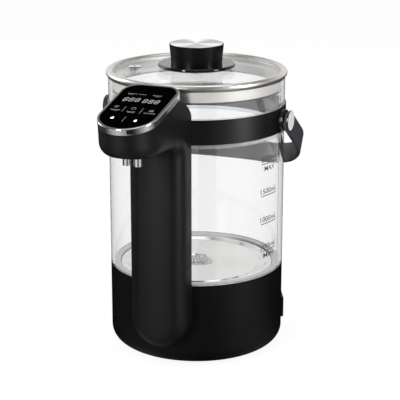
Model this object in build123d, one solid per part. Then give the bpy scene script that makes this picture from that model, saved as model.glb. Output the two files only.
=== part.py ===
from build123d import *
import math
import os

# Electric thermo pot: glass jar on a heated base, with a dispensing column at the front.
# Millimetres. The origin is where the jar's axis meets the standing plane. +Z is up, the
# column and its spouts point to -Y, and the bail pivots lie on X.

# ---------------------------------------------------------------- driving sizes
# base
base_rim_z = 78.4
base_wall = 2.6
base_corner_radius = 13.0
foot_height = 1.5
foot_radius = 8.0
foot_inset = 19.0
foot_recess = 1.4
bottom_plate_inset = 12.0
bottom_plate_thickness = 2.6
bottom_ledge_width = 6.0
bottom_ledge_height = 4.8
bottom_screw_count = 4
bottom_screw_radius = 1.4
bottom_screw_head_radius = 3.0
bottom_screw_head_height = 1.3
seat_ledge_thickness = 2.6
vent_slot_count = 5
vent_slot_length = 30.0
vent_slot_width = 3.0
vent_slot_pitch = 7.0

# jar, its seat and the heated floor
jar_radius = 81.0
jar_wall = 3.0
jar_height = 176.0
seat_lip_thickness = 0.6
seat_width = 6.5
seat_depth = 3.1
plate_thickness = 1.2
plate_rim_drop = 1.3
plate_rim_width = 4.6
plate_rim_slope = 3.0
plate_groove_depth = 2.1
plate_groove_width = 2.6
plate_step_slope = 1.4
plate_step_height = 0.8
plate_well_radius = 15.8
plate_well_depth = 1.5
plate_well_slope = 1.6
strainer_gap = 0.8
strainer_lip = 1.6
strainer_thickness = 0.8
strainer_shoulder_share = 0.6
strainer_shoulder_rise_share = 0.8
strainer_rise = 1.6
strainer_hole_radius = 0.9
strainer_hole_pitch = 3.4
strainer_hole_rings = 3
spreader_thickness = 3.0
spreader_gap = 1.5
spreader_inset = 6.0
element_inset = 11.0
element_tube_radius = 3.4
element_gap_angle = 40.0
element_end_length = 12.0
cutout_radius = 7.0
cutout_height = 9.0
cutout_gap = 2.6
cutout_angle = 35.0
sensor_radius = 3.5
sensor_height = 10.0
sensor_gap = 0.5
sensor_angle = 135.0

# water path
pump_floor_gap = 2.9
motor_wall_gap = 14.3
volute_radius = 19.0
volute_depth = 14.0
volute_wall = 1.8
impeller_gap = 3.2
impeller_back_gap = 0.6
impeller_blade_count = 6
impeller_blade_height = 4.5
impeller_disc_thickness = 1.5
impeller_blade_thickness = 1.2
impeller_hub_radius = 3.0
motor_radius = 17.0
motor_length = 26.0
motor_corner_radius = 1.5
motor_bearing_radius = 5.0
motor_bearing_length = 2.0
shaft_length = 15.6
shaft_radius = 1.5
spigot_radius = 3.1
spigot_bore_radius = 2.0
pump_inlet_length = 8.0
pump_outlet_wall = 1.5
pump_outlet_rise = 1.0
pump_outlet_x = 8.0
hose_radius = 4.6
hose_wall = 1.4
hose_bend_radius = 7.5
riser_gap = 1.4
hose_crossing_drop = 21.4
hose_window_margin = 1.5
drain_flange_radius = 13.0
drain_flange_thickness = 2.2
drain_spigot_length = 9.0
drain_tube_wall = 2.0
cradle_width = 24.0
cradle_drop = 6.0
cradle_front_inset = 5.0
cradle_back_inset = 3.0

# electrics
board_width = 78.0
board_depth = 44.0
board_thickness = 1.6
board_centre_y = 28.0
board_corner_inset = 5.0
standoff_height = 8.9
standoff_radius = 3.0
transformer_length = 22.0
transformer_width = 20.0
transformer_height = 18.0
transformer_x = -23.0
relay_length = 14.0
relay_width = 18.0
relay_height = 14.0
relay_x = 1.0
relay_y = -7.0
capacitor_radius = 5.0
capacitor_height = 20.0
capacitor_x = 16.0
capacitor_y = 8.0
heat_sink_thickness = 3.0
heat_sink_length = 22.0
heat_sink_height = 22.0
heat_sink_x = 25.5
heat_sink_y = -3.0
cable_radius = 2.0
cable_x = -15.0
cable_board_inset = 4.0
cable_bend_radius = 7.0
cable_reach = 26.0
cable_rise = 16.0
cable_end_gap = 0.6
inlet_azimuth = 115.0
inlet_centre_z = 31.0
inlet_width = 28.0
inlet_height = 20.0
inlet_proud = 1.2
inlet_flange = 3.0
inlet_flange_thickness = 2.4
inlet_corner_radius = 3.0
inlet_recess_width = 21.0
inlet_recess_height = 13.0
inlet_recess_depth = 15.0
inlet_body_depth = 22.0
inlet_body_wall = 2.0
inlet_pin_radius = 1.6
inlet_pin_pitch = 6.5
inlet_pin_offset = 1.5
inlet_pin_setback = 2.5
inlet_pin_edge = 0.6

# collar and bail
collar_drop = 35.3
collar_height = 22.2
collar_thickness = 0.6
liner_thickness = 0.5
liner_lip = 3.4
liner_top_lip = 1.2
boss_radius = 9.7
boss_length = 4.25
pivot_pin_radius = 4.0
pivot_pin_depth = 3.0
pivot_cap_radius = 9.15
pivot_cap_thickness = 1.4
pivot_cap_edge = 0.4
bail_thickness = 3.5
bail_width = 19.6
bail_arm_angle = 34.9
bail_drop = 54.4
bail_back_reach = 13.0
bail_back_flat = 9.55
bail_bend_radius = 52.0
bail_lean = 30.0
bail_edge_radius = 1.2

# lid and knob
lid_overhang = 2.05
lid_rim_width = 6.65
lid_rim_height = 6.0
lid_skirt_thickness = 0.7
lid_skirt_depth = 10.0
lid_skirt_inset = 0.1
lid_seal_height = 1.5
lid_seal_width = 1.4
lid_seal_edge = 0.25
lid_glass_thickness = 2.6
lid_glass_rise = 3.0
lid_glass_mid_share = 0.75
lid_glass_drop = 1.5
lid_glass_bite = 2.2
vent_x = -52.4
vent_y = -21.2
vent_radius = 6.0
vent_body_radius = 4.2
vent_hole_radius = 1.8
vent_flange_height = 1.2
vent_flange_edge = 0.7
vent_tail = 1.0
knob_flange_radius = 35.6
knob_flange_thickness = 3.2
knob_flange_edge = 1.44
knob_bottom_radius = 23.3
knob_top_radius = 24.85
knob_height = 17.6
knob_wall = 2.4
knob_edge = 0.4
knob_rim_width = 0.95
knob_disc_thickness = 1.3
knob_disc_proud = 0.4
knob_boss_radius = 5.0
knob_screw_radius = 2.0
knob_screw_head_radius = 4.8
knob_screw_head_height = 2.4
knob_gasket_radius = 10.0
knob_gasket_thickness = 1.2

# column and head
column_half_width = 26.8
column_depth = 18.0
column_bottom_z = 21.4
column_edge_radius = 12.0
column_inner_corner_radius = 10.0
column_wall = 2.4
column_screw_radius = 1.6
column_screw_head_radius = 3.0
column_screw_head_height = 2.2
column_screw_drop = 8.0
column_boss_radius = 4.2
column_boss_x = 13.0
head_drop = 9.9
head_underside_slope = 4.1
head_lean = 5.5
head_reveal = 0.35
shoulder_reach = 19.0
shoulder_setback = 9.6
shoulder_drop = 2.0
shoulder_back_radius = 32.0
shoulder_side_radius = 3.0
rear_cover_thickness = 1.6
panel_slope = 14.42
panel_setback = 3.7
panel_rise = 7.4
panel_length = 78.9
panel_rear_corner = 12.6
panel_front_flat = 0.3
panel_thickness = 2.0
panel_recess = 0.15
ring_width = 2.5
ring_height = 5.5
ring_edge_radius = 0.9
ring_ledge = 2.0
window_width = 5.4
window_height = 3.6
window_depth = 1.2
window_angle = 24.6
window_corner_radius = 0.8
display_thickness = 1.6
display_inset = 1.2
digit_width = 19.0
digit_depth = 9.0
digit_height = 2.6
digit_half_gap = 1.0
digit_row = 22.0
touch_pitch = 14.0
touch_row = 40.0
touch_lower_x = 9.5
touch_lower_row = 61.0
touch_spring_radius = 2.5
spout_reach = 44.0
spout_x = 5.0
spout_radius = 3.6
spout_wall = 0.5
spout_drop = 5.6
spout_block_length = 25.4
spout_block_width = 19.0
spout_block_height = 14.0
spout_block_corner = 3.0
spout_depth = 8.4

# clearances
slip = 0.1
fit_gap = 0.3
running_gap = 0.05
near = 0.01

# ---------------------------------------------------------------- derived places
base_radius = jar_radius
plate_bottom_z = foot_height
bottom_plate_radius = base_radius - bottom_plate_inset
foot_circle_radius = bottom_plate_radius - foot_inset
jar_bottom_z = base_rim_z + seat_lip_thickness
jar_top_z = jar_bottom_z + jar_height
jar_bore_radius = jar_radius - jar_wall
base_inner_radius = base_radius - base_wall
seat_inner_radius = base_inner_radius - seat_width
plate_radius = seat_inner_radius - fit_gap
plate_rim_inner_radius = plate_radius - plate_rim_width
plate_groove_outer_radius = plate_rim_inner_radius - plate_rim_slope
plate_groove_inner_radius = plate_groove_outer_radius - plate_groove_width
plate_step_radius = plate_groove_inner_radius - plate_step_slope
strainer_radius = plate_well_radius - strainer_gap
plate_rim_z = jar_bottom_z - plate_rim_drop
plate_floor_z = plate_rim_z - plate_groove_depth + plate_step_height
plate_well_z = plate_floor_z - plate_well_depth
seat_ledge_z = jar_bottom_z - seat_depth - slip
well_under_z = plate_well_z - plate_thickness
sensor_offset = drain_flange_radius + sensor_gap + sensor_radius
spreader_top_z = plate_floor_z - plate_thickness - slip
spreader_inner_radius = sensor_offset + sensor_radius + spreader_gap
spreader_outer_radius = plate_step_radius - spreader_inset
element_ring_radius = spreader_outer_radius - element_inset
cutout_circle_radius = element_ring_radius - element_tube_radius - cutout_gap - cutout_radius
bottom_plate_top_z = plate_bottom_z + bottom_plate_thickness
pump_centre_z = bottom_plate_top_z + pump_floor_gap + volute_radius
impeller_radius = volute_radius - volute_wall - impeller_gap
motor_back_y = -(base_inner_radius - motor_wall_gap)
motor_front_y = motor_back_y + motor_length
volute_back_y = motor_front_y + slip
pump_front_y = volute_back_y + volute_depth
hose_crossing_z = base_rim_z - hose_crossing_drop
column_back_radius = jar_radius + liner_thickness + collar_thickness + 2 * slip + fit_gap
collar_inner_radius = jar_radius + liner_thickness + 2 * slip
collar_outer_radius = collar_inner_radius + collar_thickness
collar_centre_z = jar_top_z - collar_drop
collar_bottom_z = collar_centre_z - collar_height / 2
boss_end_x = collar_outer_radius + boss_length
bail_inner_x = boss_end_x + 2 * slip
bail_outer_x = bail_inner_x + bail_thickness
bail_back_z = collar_centre_z - bail_drop
bail_back_y = jar_radius + bail_back_reach
bail_corner_radius = bail_outer_x - bail_back_flat
lid_rim_radius = jar_radius + lid_overhang
lid_rim_bottom_z = jar_top_z + fit_gap
lid_rim_top_z = lid_rim_bottom_z + lid_rim_height
lid_rim_inner_radius = lid_rim_radius - lid_rim_width
lid_glass_edge_z = lid_rim_top_z - lid_glass_drop
lid_glass_top_z = lid_glass_edge_z + lid_glass_rise
lid_glass_radius = lid_rim_inner_radius + lid_glass_bite
lid_skirt_bottom_z = lid_rim_bottom_z - lid_skirt_depth
knob_bottom_z = lid_glass_top_z + knob_flange_thickness + slip
knob_top_z = knob_bottom_z + knob_height
knob_disc_radius = knob_top_radius - knob_rim_width
knob_disc_seat_z = knob_top_z - knob_disc_thickness + knob_disc_proud
column_front = jar_radius + column_depth
shoulder_front = column_front + shoulder_reach
shoulder_back = jar_radius - shoulder_setback
head_underside_z = collar_centre_z - head_drop
panel_rear = column_front - panel_setback
panel_rear_z = jar_top_z + panel_rise
spout_y = -(column_front + spout_reach)
spout_bottom_z = head_underside_z - spout_drop
u_centre_z = column_bottom_z + column_half_width
slope = math.radians(panel_slope)
seat_rear_z = panel_rear_z - ring_height / math.cos(slope)
panel_half_width = column_half_width - ring_width
panel_front_corner = panel_half_width - panel_front_flat
element_z = spreader_top_z - spreader_thickness - slip - element_tube_radius
hose_bore_radius = hose_radius - hose_wall
board_bottom_z = bottom_plate_top_z + standoff_height
panel_plane = Plane(
    origin=(0, -panel_rear, panel_rear_z),
    x_dir=(1, 0, 0),
    z_dir=(0, -math.sin(slope), math.cos(slope)),
)


# ---------------------------------------------------------------- helpers
def ring(outer, inner, bottom, top):
    """A flat ring or a tube about the jar's axis, between two heights."""
    body = Pos(0, 0, bottom) * extrude(Circle(outer), top - bottom)
    return body - Pos(0, 0, bottom) * extrude(Circle(inner), top - bottom)


def disc(radius, bottom, top, x=0.0, y=0.0):
    """An upright cylinder between two heights."""
    return Pos(x, y, bottom) * extrude(Circle(radius), top - bottom)


def rod(radius, start, end):
    """A straight round rod between two points."""
    line = Line(start, end)
    return extrude(Plane(origin=start, z_dir=line % 0) * Circle(radius), line.length)


def block(low, high):
    """A box between two corners."""
    size = [b - a for a, b in zip(low, high)]
    middle = [(a + b) / 2 for a, b in zip(low, high)]
    return Pos(*middle) * Box(*size)


def turned(points):
    """A solid of revolution about the jar's axis from (radius, height) points."""
    profile = make_face(Plane.XZ * Polyline(*points, close=True))
    return revolve(profile, Axis.Z)


def bent_rod(radius, points, bend):
    """A round rod along straight runs joined by tangent arcs."""
    path = FilletPolyline(*points, radius=bend)
    return sweep(Plane(origin=path @ 0, z_dir=path % 0) * Circle(radius), path=path)


def bent_hose(points, bend):
    """A hose along straight runs joined by tangent arcs."""
    return bent_rod(hose_radius, points, bend) - bent_rod(hose_bore_radius, points, bend)


def tongue(half_width, length, rear_corner, front_corner):
    """Outline of the panel: a strip from y = 0 to -length with rounded ends."""
    strip = Pos(0, -length / 2) * Rectangle(2 * half_width, length)
    strip = fillet(strip.vertices().group_by(Axis.Y)[-1], rear_corner)
    return fillet(strip.vertices().group_by(Axis.Y)[0], front_corner)


def grown_tongue(growth):
    """The panel's outline grown by an even margin, in the panel's own plane."""
    outline = tongue(
        panel_half_width + growth,
        panel_length + 2 * growth,
        panel_rear_corner + growth,
        panel_front_corner + growth,
    )
    return Pos(0, growth) * outline


def on_panel(sketch, bottom, top):
    """A slab parallel to the panel, between two depths measured from its face."""
    return extrude(panel_plane * Pos(0, 0, bottom) * sketch, top - bottom)


# ---------------------------------------------------------------- base
def make_base_housing():
    """Outer shell of the base with the seat ledge and the lower ledge."""
    corner_r = base_radius - base_corner_radius
    core = disc(base_radius, plate_bottom_z, base_rim_z)
    core = fillet(core.edges().group_by(Axis.Z)[0], base_corner_radius)
    inner_corner = base_corner_radius - base_wall
    hollow = disc(base_inner_radius, bottom_plate_top_z, base_rim_z)
    hollow = fillet(hollow.edges().group_by(Axis.Z)[0], inner_corner)
    shell = core - hollow
    shell -= disc(bottom_plate_radius + fit_gap, 0, bottom_plate_top_z)
    ledge_z = bottom_plate_top_z + slip
    ledge_outer = corner_r + inner_corner / 2
    shell += ring(ledge_outer, bottom_plate_radius - bottom_ledge_width,
                  ledge_z, ledge_z + bottom_ledge_height)
    inner_edge = plate_rim_inner_radius + fit_gap
    seat = ring(base_inner_radius + base_wall / 2, inner_edge,
                seat_ledge_z - seat_ledge_thickness, seat_ledge_z)
    step_top = plate_rim_z - plate_thickness - slip
    seat += ring(plate_radius - fit_gap, inner_edge, seat_ledge_z - seat_ledge_thickness, step_top)
    shell += seat
    shell -= inlet_tool(inlet_width + 2 * slip, inlet_height + 2 * slip,
                        base_radius / 2, base_radius + 2 * inlet_proud)
    shell -= cable_window()
    for x in (-column_boss_x, column_boss_x):
        hole = rod(column_screw_radius + fit_gap, (x, 0, column_screw_z()),
                   (x, -2 * base_radius, column_screw_z()))
        shell -= hole
    for x, y in bottom_screw_places():
        shell -= disc(bottom_screw_radius + slip, 0, ledge_z + bottom_ledge_height + fit_gap, x, y)
    return shell


def bottom_screw_places():
    """Centres of the screws that hold the bottom plate."""
    radius = bottom_plate_radius - bottom_ledge_width / 2
    step = 360 / bottom_screw_count
    return [polar_point(radius, step * (i + 0.5) + step / 2) for i in range(bottom_screw_count)]


def polar_point(radius, angle):
    """A point in plan at an angle from +X."""
    turn = math.radians(angle)
    return radius * math.cos(turn), radius * math.sin(turn)


def foot_places():
    """Centres of the four rubber feet."""
    return [polar_point(foot_circle_radius, 45 + 90 * i) for i in range(4)]


def make_bottom_plate():
    """Bottom cover with foot recesses, vent slots and screw holes."""
    plate = disc(bottom_plate_radius, plate_bottom_z, bottom_plate_top_z)
    for x, y in foot_places():
        plate -= disc(foot_radius + slip, plate_bottom_z, plate_bottom_z + foot_recess, x, y)
    for x, y in bottom_screw_places():
        plate -= disc(bottom_screw_radius + fit_gap, plate_bottom_z, bottom_plate_top_z, x, y)
        plate -= disc(bottom_screw_head_radius + fit_gap, plate_bottom_z,
                      bottom_screw_head_z(), x, y)
    for i in range(vent_slot_count):
        y = vent_slot_pitch * (i - (vent_slot_count - 1) / 2)
        slot = Pos(0, y, plate_bottom_z) * extrude(
            SlotOverall(vent_slot_length, vent_slot_width), bottom_plate_thickness)
        plate -= slot
    return plate


def make_rubber_feet():
    """Four rubber feet seated in the bottom plate."""
    foot_top = plate_bottom_z + foot_recess
    feet = []
    for x, y in foot_places():
        foot = disc(foot_radius, 0, foot_top, x, y)
        feet.append(fillet(foot.edges().group_by(Axis.Z)[0], foot_height / 2))
    return feet


def bottom_screw_head_z():
    """Seat of the screws' heads in the bottom plate."""
    return plate_bottom_z + slip + bottom_screw_head_height


def make_bottom_screws():
    """Screws that hold the bottom plate to the housing's lower ledge."""
    seat = bottom_screw_head_z()
    tip = bottom_plate_top_z + slip + bottom_ledge_height
    screws = []
    for x, y in bottom_screw_places():
        head = disc(bottom_screw_head_radius, plate_bottom_z + slip, seat, x, y)
        screws.append(head + disc(bottom_screw_radius, seat, tip, x, y))
    return screws


def make_jar_seat():
    """Silicone ring under the jar: a lip on the housing's rim and a flat inner seat."""
    seat = ring(base_inner_radius - slip, seat_inner_radius,
                jar_bottom_z - seat_depth, jar_bottom_z)
    return seat + ring(base_radius - fit_gap, base_inner_radius - 2 * slip,
                       base_rim_z, jar_bottom_z)


def make_glass_jar():
    """Straight glass tube with softened edges."""
    jar = ring(jar_radius, jar_bore_radius, jar_bottom_z, jar_top_z)
    return fillet(jar.edges().group_by(Axis.Z)[-1], jar_wall / 4)


def make_heating_plate():
    """Pressed steel floor: raised rim, groove, flat disc and a well for the strainer."""
    groove_z = plate_rim_z - plate_groove_depth
    hole = spigot_radius + drain_tube_wall
    bevel = plate_thickness / 2 - slip
    top = [
        (hole, plate_well_z),
        (plate_well_radius, plate_well_z),
        (plate_well_radius + plate_well_slope, plate_floor_z),
        (plate_step_radius, plate_floor_z),
        (plate_groove_inner_radius, groove_z),
        (plate_groove_outer_radius, groove_z),
        (plate_rim_inner_radius, plate_rim_z),
        (plate_radius - bevel, plate_rim_z),
        (plate_radius, plate_rim_z - bevel),
    ]
    under = [(r, z - plate_thickness) for r, z in top[:-1]]
    under.append((plate_radius, plate_rim_z - plate_thickness))
    return turned(top + under[::-1])


def make_strainer():
    """Domed perforated disc over the drain."""
    lip = plate_well_z + slip
    dome_r = strainer_radius - strainer_lip
    arch = strainer_rise + strainer_thickness
    shoulder_r = dome_r * strainer_shoulder_share
    shoulder_z = lip + strainer_rise * strainer_shoulder_rise_share
    points = [
        (0, lip + strainer_rise),
        (shoulder_r, shoulder_z),
        (dome_r, lip),
        (strainer_radius, lip),
        (strainer_radius, lip + strainer_thickness),
        (dome_r, lip + strainer_thickness),
        (shoulder_r, shoulder_z + strainer_thickness),
        (0, lip + arch),
    ]
    body = turned(points)
    holes = [disc(strainer_hole_radius, lip - 1, lip + arch + 1)]
    for k in range(1, strainer_hole_rings + 1):
        for i in range(6 * k):
            x, y = polar_point(strainer_hole_pitch * k, 360 / (6 * k) * i)
            holes.append(disc(strainer_hole_radius, lip - 1, lip + arch + 1, x, y))
    return body - holes


def make_heat_spreader():
    """Aluminium ring under the steel floor."""
    return ring(spreader_outer_radius, spreader_inner_radius,
                spreader_top_z - spreader_thickness, spreader_top_z)


def make_heating_element():
    """Tubular element, an open ring under the spreader with its two cold ends turned down."""
    section = Plane.XZ * Pos(element_ring_radius, element_z) * Circle(element_tube_radius)
    element = revolve(section, Axis.Z, 360 - element_gap_angle)
    element = Rot(0, 0, 90 + element_gap_angle / 2) * element
    for side in (-1, 1):
        x, y = polar_point(element_ring_radius, 90 + side * element_gap_angle / 2)
        element += disc(element_tube_radius, element_z - element_end_length, element_z, x, y)
    return element


def make_thermal_cutouts():
    """Two snap-disc cut-outs against the spreader."""
    top = spreader_top_z - spreader_thickness - slip
    cutouts = []
    for angle in (cutout_angle, cutout_angle + 180):
        x, y = polar_point(cutout_circle_radius, angle)
        cutouts.append(disc(cutout_radius, top - cutout_height, top, x, y))
    return cutouts


def make_temperature_sensor():
    """Sensor barrel against the underside of the steel floor."""
    top = well_under_z - slip
    x, y = polar_point(sensor_offset, sensor_angle)
    return disc(sensor_radius, top - sensor_height, top, x, y)


# ---------------------------------------------------------------- water path
def drain_flange_z():
    """Underside of the drain fitting's flange."""
    return well_under_z - slip - drain_flange_thickness


def make_drain_fitting():
    """Flanged tube through the floor with a spigot for the suction hose."""
    low = drain_flange_z()
    fitting = disc(drain_flange_radius, low, low + drain_flange_thickness)
    fitting += disc(spigot_radius + drain_tube_wall - slip, low, plate_well_z)
    fitting += disc(spigot_radius, low - drain_spigot_length, low)
    return fitting - disc(spigot_bore_radius, low - drain_spigot_length, plate_well_z)


def make_suction_hose():
    """Hose from the drain fitting down and forward to the pump's inlet."""
    points = [
        (0, 0, drain_flange_z() - slip),
        (0, 0, pump_centre_z),
        (0, pump_front_y + slip, pump_centre_z),
    ]
    return bent_hose(points, hose_bend_radius)


def pump_outlet_z():
    """Height of the collar round the pump's outlet, on which the riser hose ends."""
    return pump_centre_z + volute_radius + pump_outlet_rise


def make_pump_housing():
    """Volute with an inlet spigot on its axis and an upright outlet spigot."""
    centre = (0, pump_front_y, pump_centre_z)
    back = (0, volute_back_y, pump_centre_z)
    body = rod(volute_radius, centre, back)
    middle_y = (pump_front_y + volute_back_y) / 2
    top_z = hose_crossing_z - hose_bend_radius
    inlet_end = (0, pump_front_y + pump_inlet_length, pump_centre_z)
    body += rod(spigot_radius, centre, inlet_end)
    body += rod(spigot_radius + pump_outlet_wall, (pump_outlet_x, middle_y, pump_centre_z),
                (pump_outlet_x, middle_y, pump_outlet_z()))
    body += rod(spigot_radius, (pump_outlet_x, middle_y, pump_centre_z),
                (pump_outlet_x, middle_y, top_z))
    chamber = rod(volute_radius - volute_wall, (0, pump_front_y - volute_wall, pump_centre_z),
                  (0, volute_back_y + volute_wall, pump_centre_z))
    body -= chamber
    body -= rod(spigot_bore_radius, inlet_end, (0, middle_y, pump_centre_z))
    body -= rod(spigot_bore_radius, (pump_outlet_x, middle_y, pump_centre_z),
                (pump_outlet_x, middle_y, top_z))
    return body - rod(shaft_radius + running_gap, (0, middle_y, pump_centre_z),
                      (0, volute_back_y, pump_centre_z))


def make_pump_impeller():
    """Impeller disc with upright blades, a hub and the shaft that runs in the motor."""
    back_y = volute_back_y + volute_wall + impeller_back_gap
    front_y = back_y + impeller_disc_thickness
    blade_y = front_y + impeller_blade_height
    part = rod(impeller_radius, (0, back_y, pump_centre_z), (0, front_y, pump_centre_z))
    part += rod(impeller_hub_radius, (0, back_y, pump_centre_z), (0, blade_y, pump_centre_z))
    half = impeller_blade_thickness / 2
    for i in range(impeller_blade_count):
        blade = block((impeller_hub_radius - half, back_y, -half),
                      (impeller_radius - 2 * half, blade_y, half))
        turn = Pos(0, 0, pump_centre_z) * Rot(0, 360 / impeller_blade_count * i, 0)
        part += turn * blade
    shaft_end = motor_front_y - shaft_length
    return part + rod(shaft_radius, (0, back_y, pump_centre_z), (0, shaft_end, pump_centre_z))


def make_pump_motor():
    """Motor can with a bore for the shaft."""
    back_y = motor_back_y
    can = rod(motor_radius, (0, motor_front_y, pump_centre_z), (0, back_y, pump_centre_z))
    can = fillet(can.edges().group_by(Axis.Y)[0], motor_corner_radius)
    can += rod(motor_bearing_radius, (0, back_y, pump_centre_z),
               (0, back_y - motor_bearing_length, pump_centre_z))
    depth = shaft_length + fit_gap
    return can - rod(shaft_radius + running_gap, (0, motor_front_y, pump_centre_z),
                     (0, motor_front_y - depth, pump_centre_z))


def make_pump_cradle():
    """Saddle on the bottom plate that carries the pump motor."""
    low = bottom_plate_top_z
    y_back = motor_back_y + cradle_back_inset
    y_front = motor_front_y - cradle_front_inset
    saddle = block((-cradle_width / 2, y_back, low),
                   (cradle_width / 2, y_front, pump_centre_z - cradle_drop))
    return saddle - rod(motor_radius + slip, (0, motor_front_y, pump_centre_z),
                        (0, motor_back_y, pump_centre_z))


def riser_y():
    """Depth at which the riser hose and the cable run up the column."""
    return -(column_front - column_wall - riser_gap - hose_radius)


def make_riser_hose():
    """Hose from the pump over to the column, up it and forward to the spout block."""
    middle_y = (pump_front_y + volute_back_y) / 2
    start_z = pump_outlet_z() + slip
    port_z = spout_block_z() + spout_block_height / 2
    points = [
        (pump_outlet_x, middle_y, start_z),
        (pump_outlet_x, middle_y, hose_crossing_z),
        (pump_outlet_x, riser_y(), hose_crossing_z),
        (pump_outlet_x, riser_y(), port_z),
        (pump_outlet_x, spout_block_back() + slip, port_z),
    ]
    return bent_hose(points, hose_bend_radius)


def spout_block_z():
    """Height of the head's floor at the spouts, on which the spout block stands."""
    return floor_z(-spout_y, column_wall) + slip


def spout_block_back():
    """Rear face of the spout block."""
    return spout_y + spout_block_width / 2


def make_spout_block():
    """Manifold that takes the riser hose and holds both spouts."""
    low = head_underside_z
    level = spout_block_z()
    half_x = spout_block_length / 2
    body = block((-half_x, spout_y - spout_block_width / 2, low),
                 (half_x, spout_block_back(), level + spout_block_height))
    body = fillet(body.edges().filter_by(Axis.Z), spout_block_corner)
    body = split(body, bisect_by=underside_plane(column_wall + slip), keep=Keep.TOP)
    for x in (-spout_x, spout_x):
        body -= disc(spout_radius + slip, low, level + spout_depth, x, spout_y)
    port_z = level + spout_block_height / 2
    return body - rod(spigot_bore_radius, (pump_outlet_x, spout_block_back(), port_z),
                      (pump_outlet_x, spout_y, port_z))


def make_spout(x):
    """One steel spout through the head's floor."""
    top = spout_block_z() + spout_depth - slip
    tube = disc(spout_radius, spout_bottom_z, top, x, spout_y)
    return tube - disc(spout_radius - spout_wall, spout_bottom_z, top, x, spout_y)


# ---------------------------------------------------------------- electrics
def board_corners():
    """Places of the power board's four standoffs."""
    dx = board_width / 2 - board_corner_inset
    dy = board_depth / 2 - board_corner_inset
    return [(sx * dx, board_centre_y + sy * dy) for sx in (-1, 1) for sy in (-1, 1)]


def make_power_board():
    """Power board on its standoffs, with rounded rear corners inside the round base."""
    low = (-board_width / 2, board_centre_y - board_depth / 2, board_bottom_z)
    high = (board_width / 2, board_centre_y + board_depth / 2, board_bottom_z + board_thickness)
    slab = block(low, high)
    return slab & disc(bottom_plate_radius + board_corner_inset, 0, base_rim_z)


def make_board_standoffs():
    """Four posts between the bottom plate and the power board."""
    return [disc(standoff_radius, bottom_plate_top_z, board_bottom_z, x, y)
            for x, y in board_corners()]


def make_board_components():
    """Transformer, relay, capacitor and heat sink on the power board."""
    low = board_bottom_z + board_thickness
    return [
        on_board(transformer_x, 0, transformer_length, transformer_width, transformer_height),
        on_board(relay_x, relay_y, relay_length, relay_width, relay_height),
        disc(capacitor_radius, low, low + capacitor_height, capacitor_x,
             board_centre_y + capacitor_y),
        on_board(heat_sink_x, heat_sink_y, heat_sink_thickness, heat_sink_length,
                 heat_sink_height),
    ]


def on_board(x, y, length, width, height):
    """A block that stands on the power board, with its place measured from the board's centre."""
    low = board_bottom_z + board_thickness
    middle = board_centre_y + y
    return block((x - length / 2, middle - width / 2, low),
                 (x + length / 2, middle + width / 2, low + height))


def make_display_cable():
    """Cable from the power board over to the column, up it and on to the display board."""
    y = riser_y()
    board_y = board_centre_y - board_depth / 2 + cable_board_inset
    reach = -(panel_rear + cable_reach)
    drop = (-reach - panel_rear) * math.tan(slope)
    stack = (ring_height + display_thickness) / math.cos(slope)
    board_low = panel_rear_z - drop - stack - cable_end_gap
    cross_z = floor_z(-reach, column_wall) + cable_rise
    points = [
        (cable_x, board_y, board_bottom_z + board_thickness),
        (cable_x, board_y, hose_crossing_z),
        (cable_x, y, hose_crossing_z),
        (cable_x, y, cross_z),
        (cable_x, reach, cross_z),
        (cable_x, reach, board_low),
    ]
    return bent_rod(cable_radius, points, cable_bend_radius)


def cable_window():
    """Opening through the base wall behind the column, for the hose and the cable."""
    half = hose_radius + hose_window_margin
    return block((cable_x - cable_radius - 2 * hose_window_margin, -1.5 * base_radius,
                  hose_crossing_z - half),
                 (pump_outlet_x + half, -base_radius / 2, hose_crossing_z + half))


def inlet_plane(distance):
    """Upright plane across the inlet's axis, at a distance from the jar's axis."""
    turn = math.radians(inlet_azimuth)
    outward = (math.sin(turn), -math.cos(turn), 0)
    origin = (outward[0] * distance, outward[1] * distance, inlet_centre_z)
    across = (math.cos(turn), math.sin(turn), 0)
    return Plane(origin=origin, x_dir=across, z_dir=outward)


def inlet_tool(width, height, start, end):
    """A rounded block along the inlet's axis."""
    outline = RectangleRounded(width, height, inlet_corner_radius)
    return extrude(inlet_plane(start) * outline, end - start)


def make_power_inlet():
    """Appliance inlet: a proud front, a flange inside the wall and the socket's recess."""
    face = base_radius + inlet_proud
    half = inlet_width / 2 + inlet_flange
    wall_at = math.sqrt(base_inner_radius ** 2 - half ** 2) - fit_gap
    front = inlet_tool(inlet_width, inlet_height, wall_at, face)
    flange = inlet_tool(2 * half, inlet_height + 2 * inlet_flange,
                        wall_at - inlet_flange_thickness, wall_at)
    back = face - inlet_body_depth
    body = inlet_tool(inlet_recess_width + 2 * inlet_body_wall,
                      inlet_recess_height + 2 * inlet_body_wall, back, wall_at)
    inlet = front + flange + body
    recess = inlet_tool(inlet_recess_width, inlet_recess_height, face - inlet_recess_depth, face)
    return inlet - recess


def make_inlet_pins():
    """Three round pins standing in the inlet's recess."""
    start = base_radius + inlet_proud - inlet_recess_depth
    pins = []
    for i in (-1, 0, 1):
        spot = inlet_plane(start) * Pos(i * inlet_pin_pitch, inlet_pin_offset * (1 - abs(i)))
        pin = extrude(spot * Circle(inlet_pin_radius), inlet_recess_depth - inlet_pin_setback)
        pins.append(fillet(pin.edges().filter_by(GeomType.CIRCLE), inlet_pin_edge))
    return pins


# ---------------------------------------------------------------- collar and bail
def make_collar_liner():
    """Clear silicone liner under the band, with a lip below it."""
    return ring(jar_radius + slip + liner_thickness, jar_radius + slip,
                collar_bottom_z - liner_lip, collar_bottom_z + collar_height + liner_top_lip)


def make_collar_band():
    """Black steel band round the jar."""
    band = ring(collar_outer_radius, collar_inner_radius,
                collar_bottom_z, collar_bottom_z + collar_height)
    return fillet(band.edges(), collar_thickness / 4)


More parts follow.
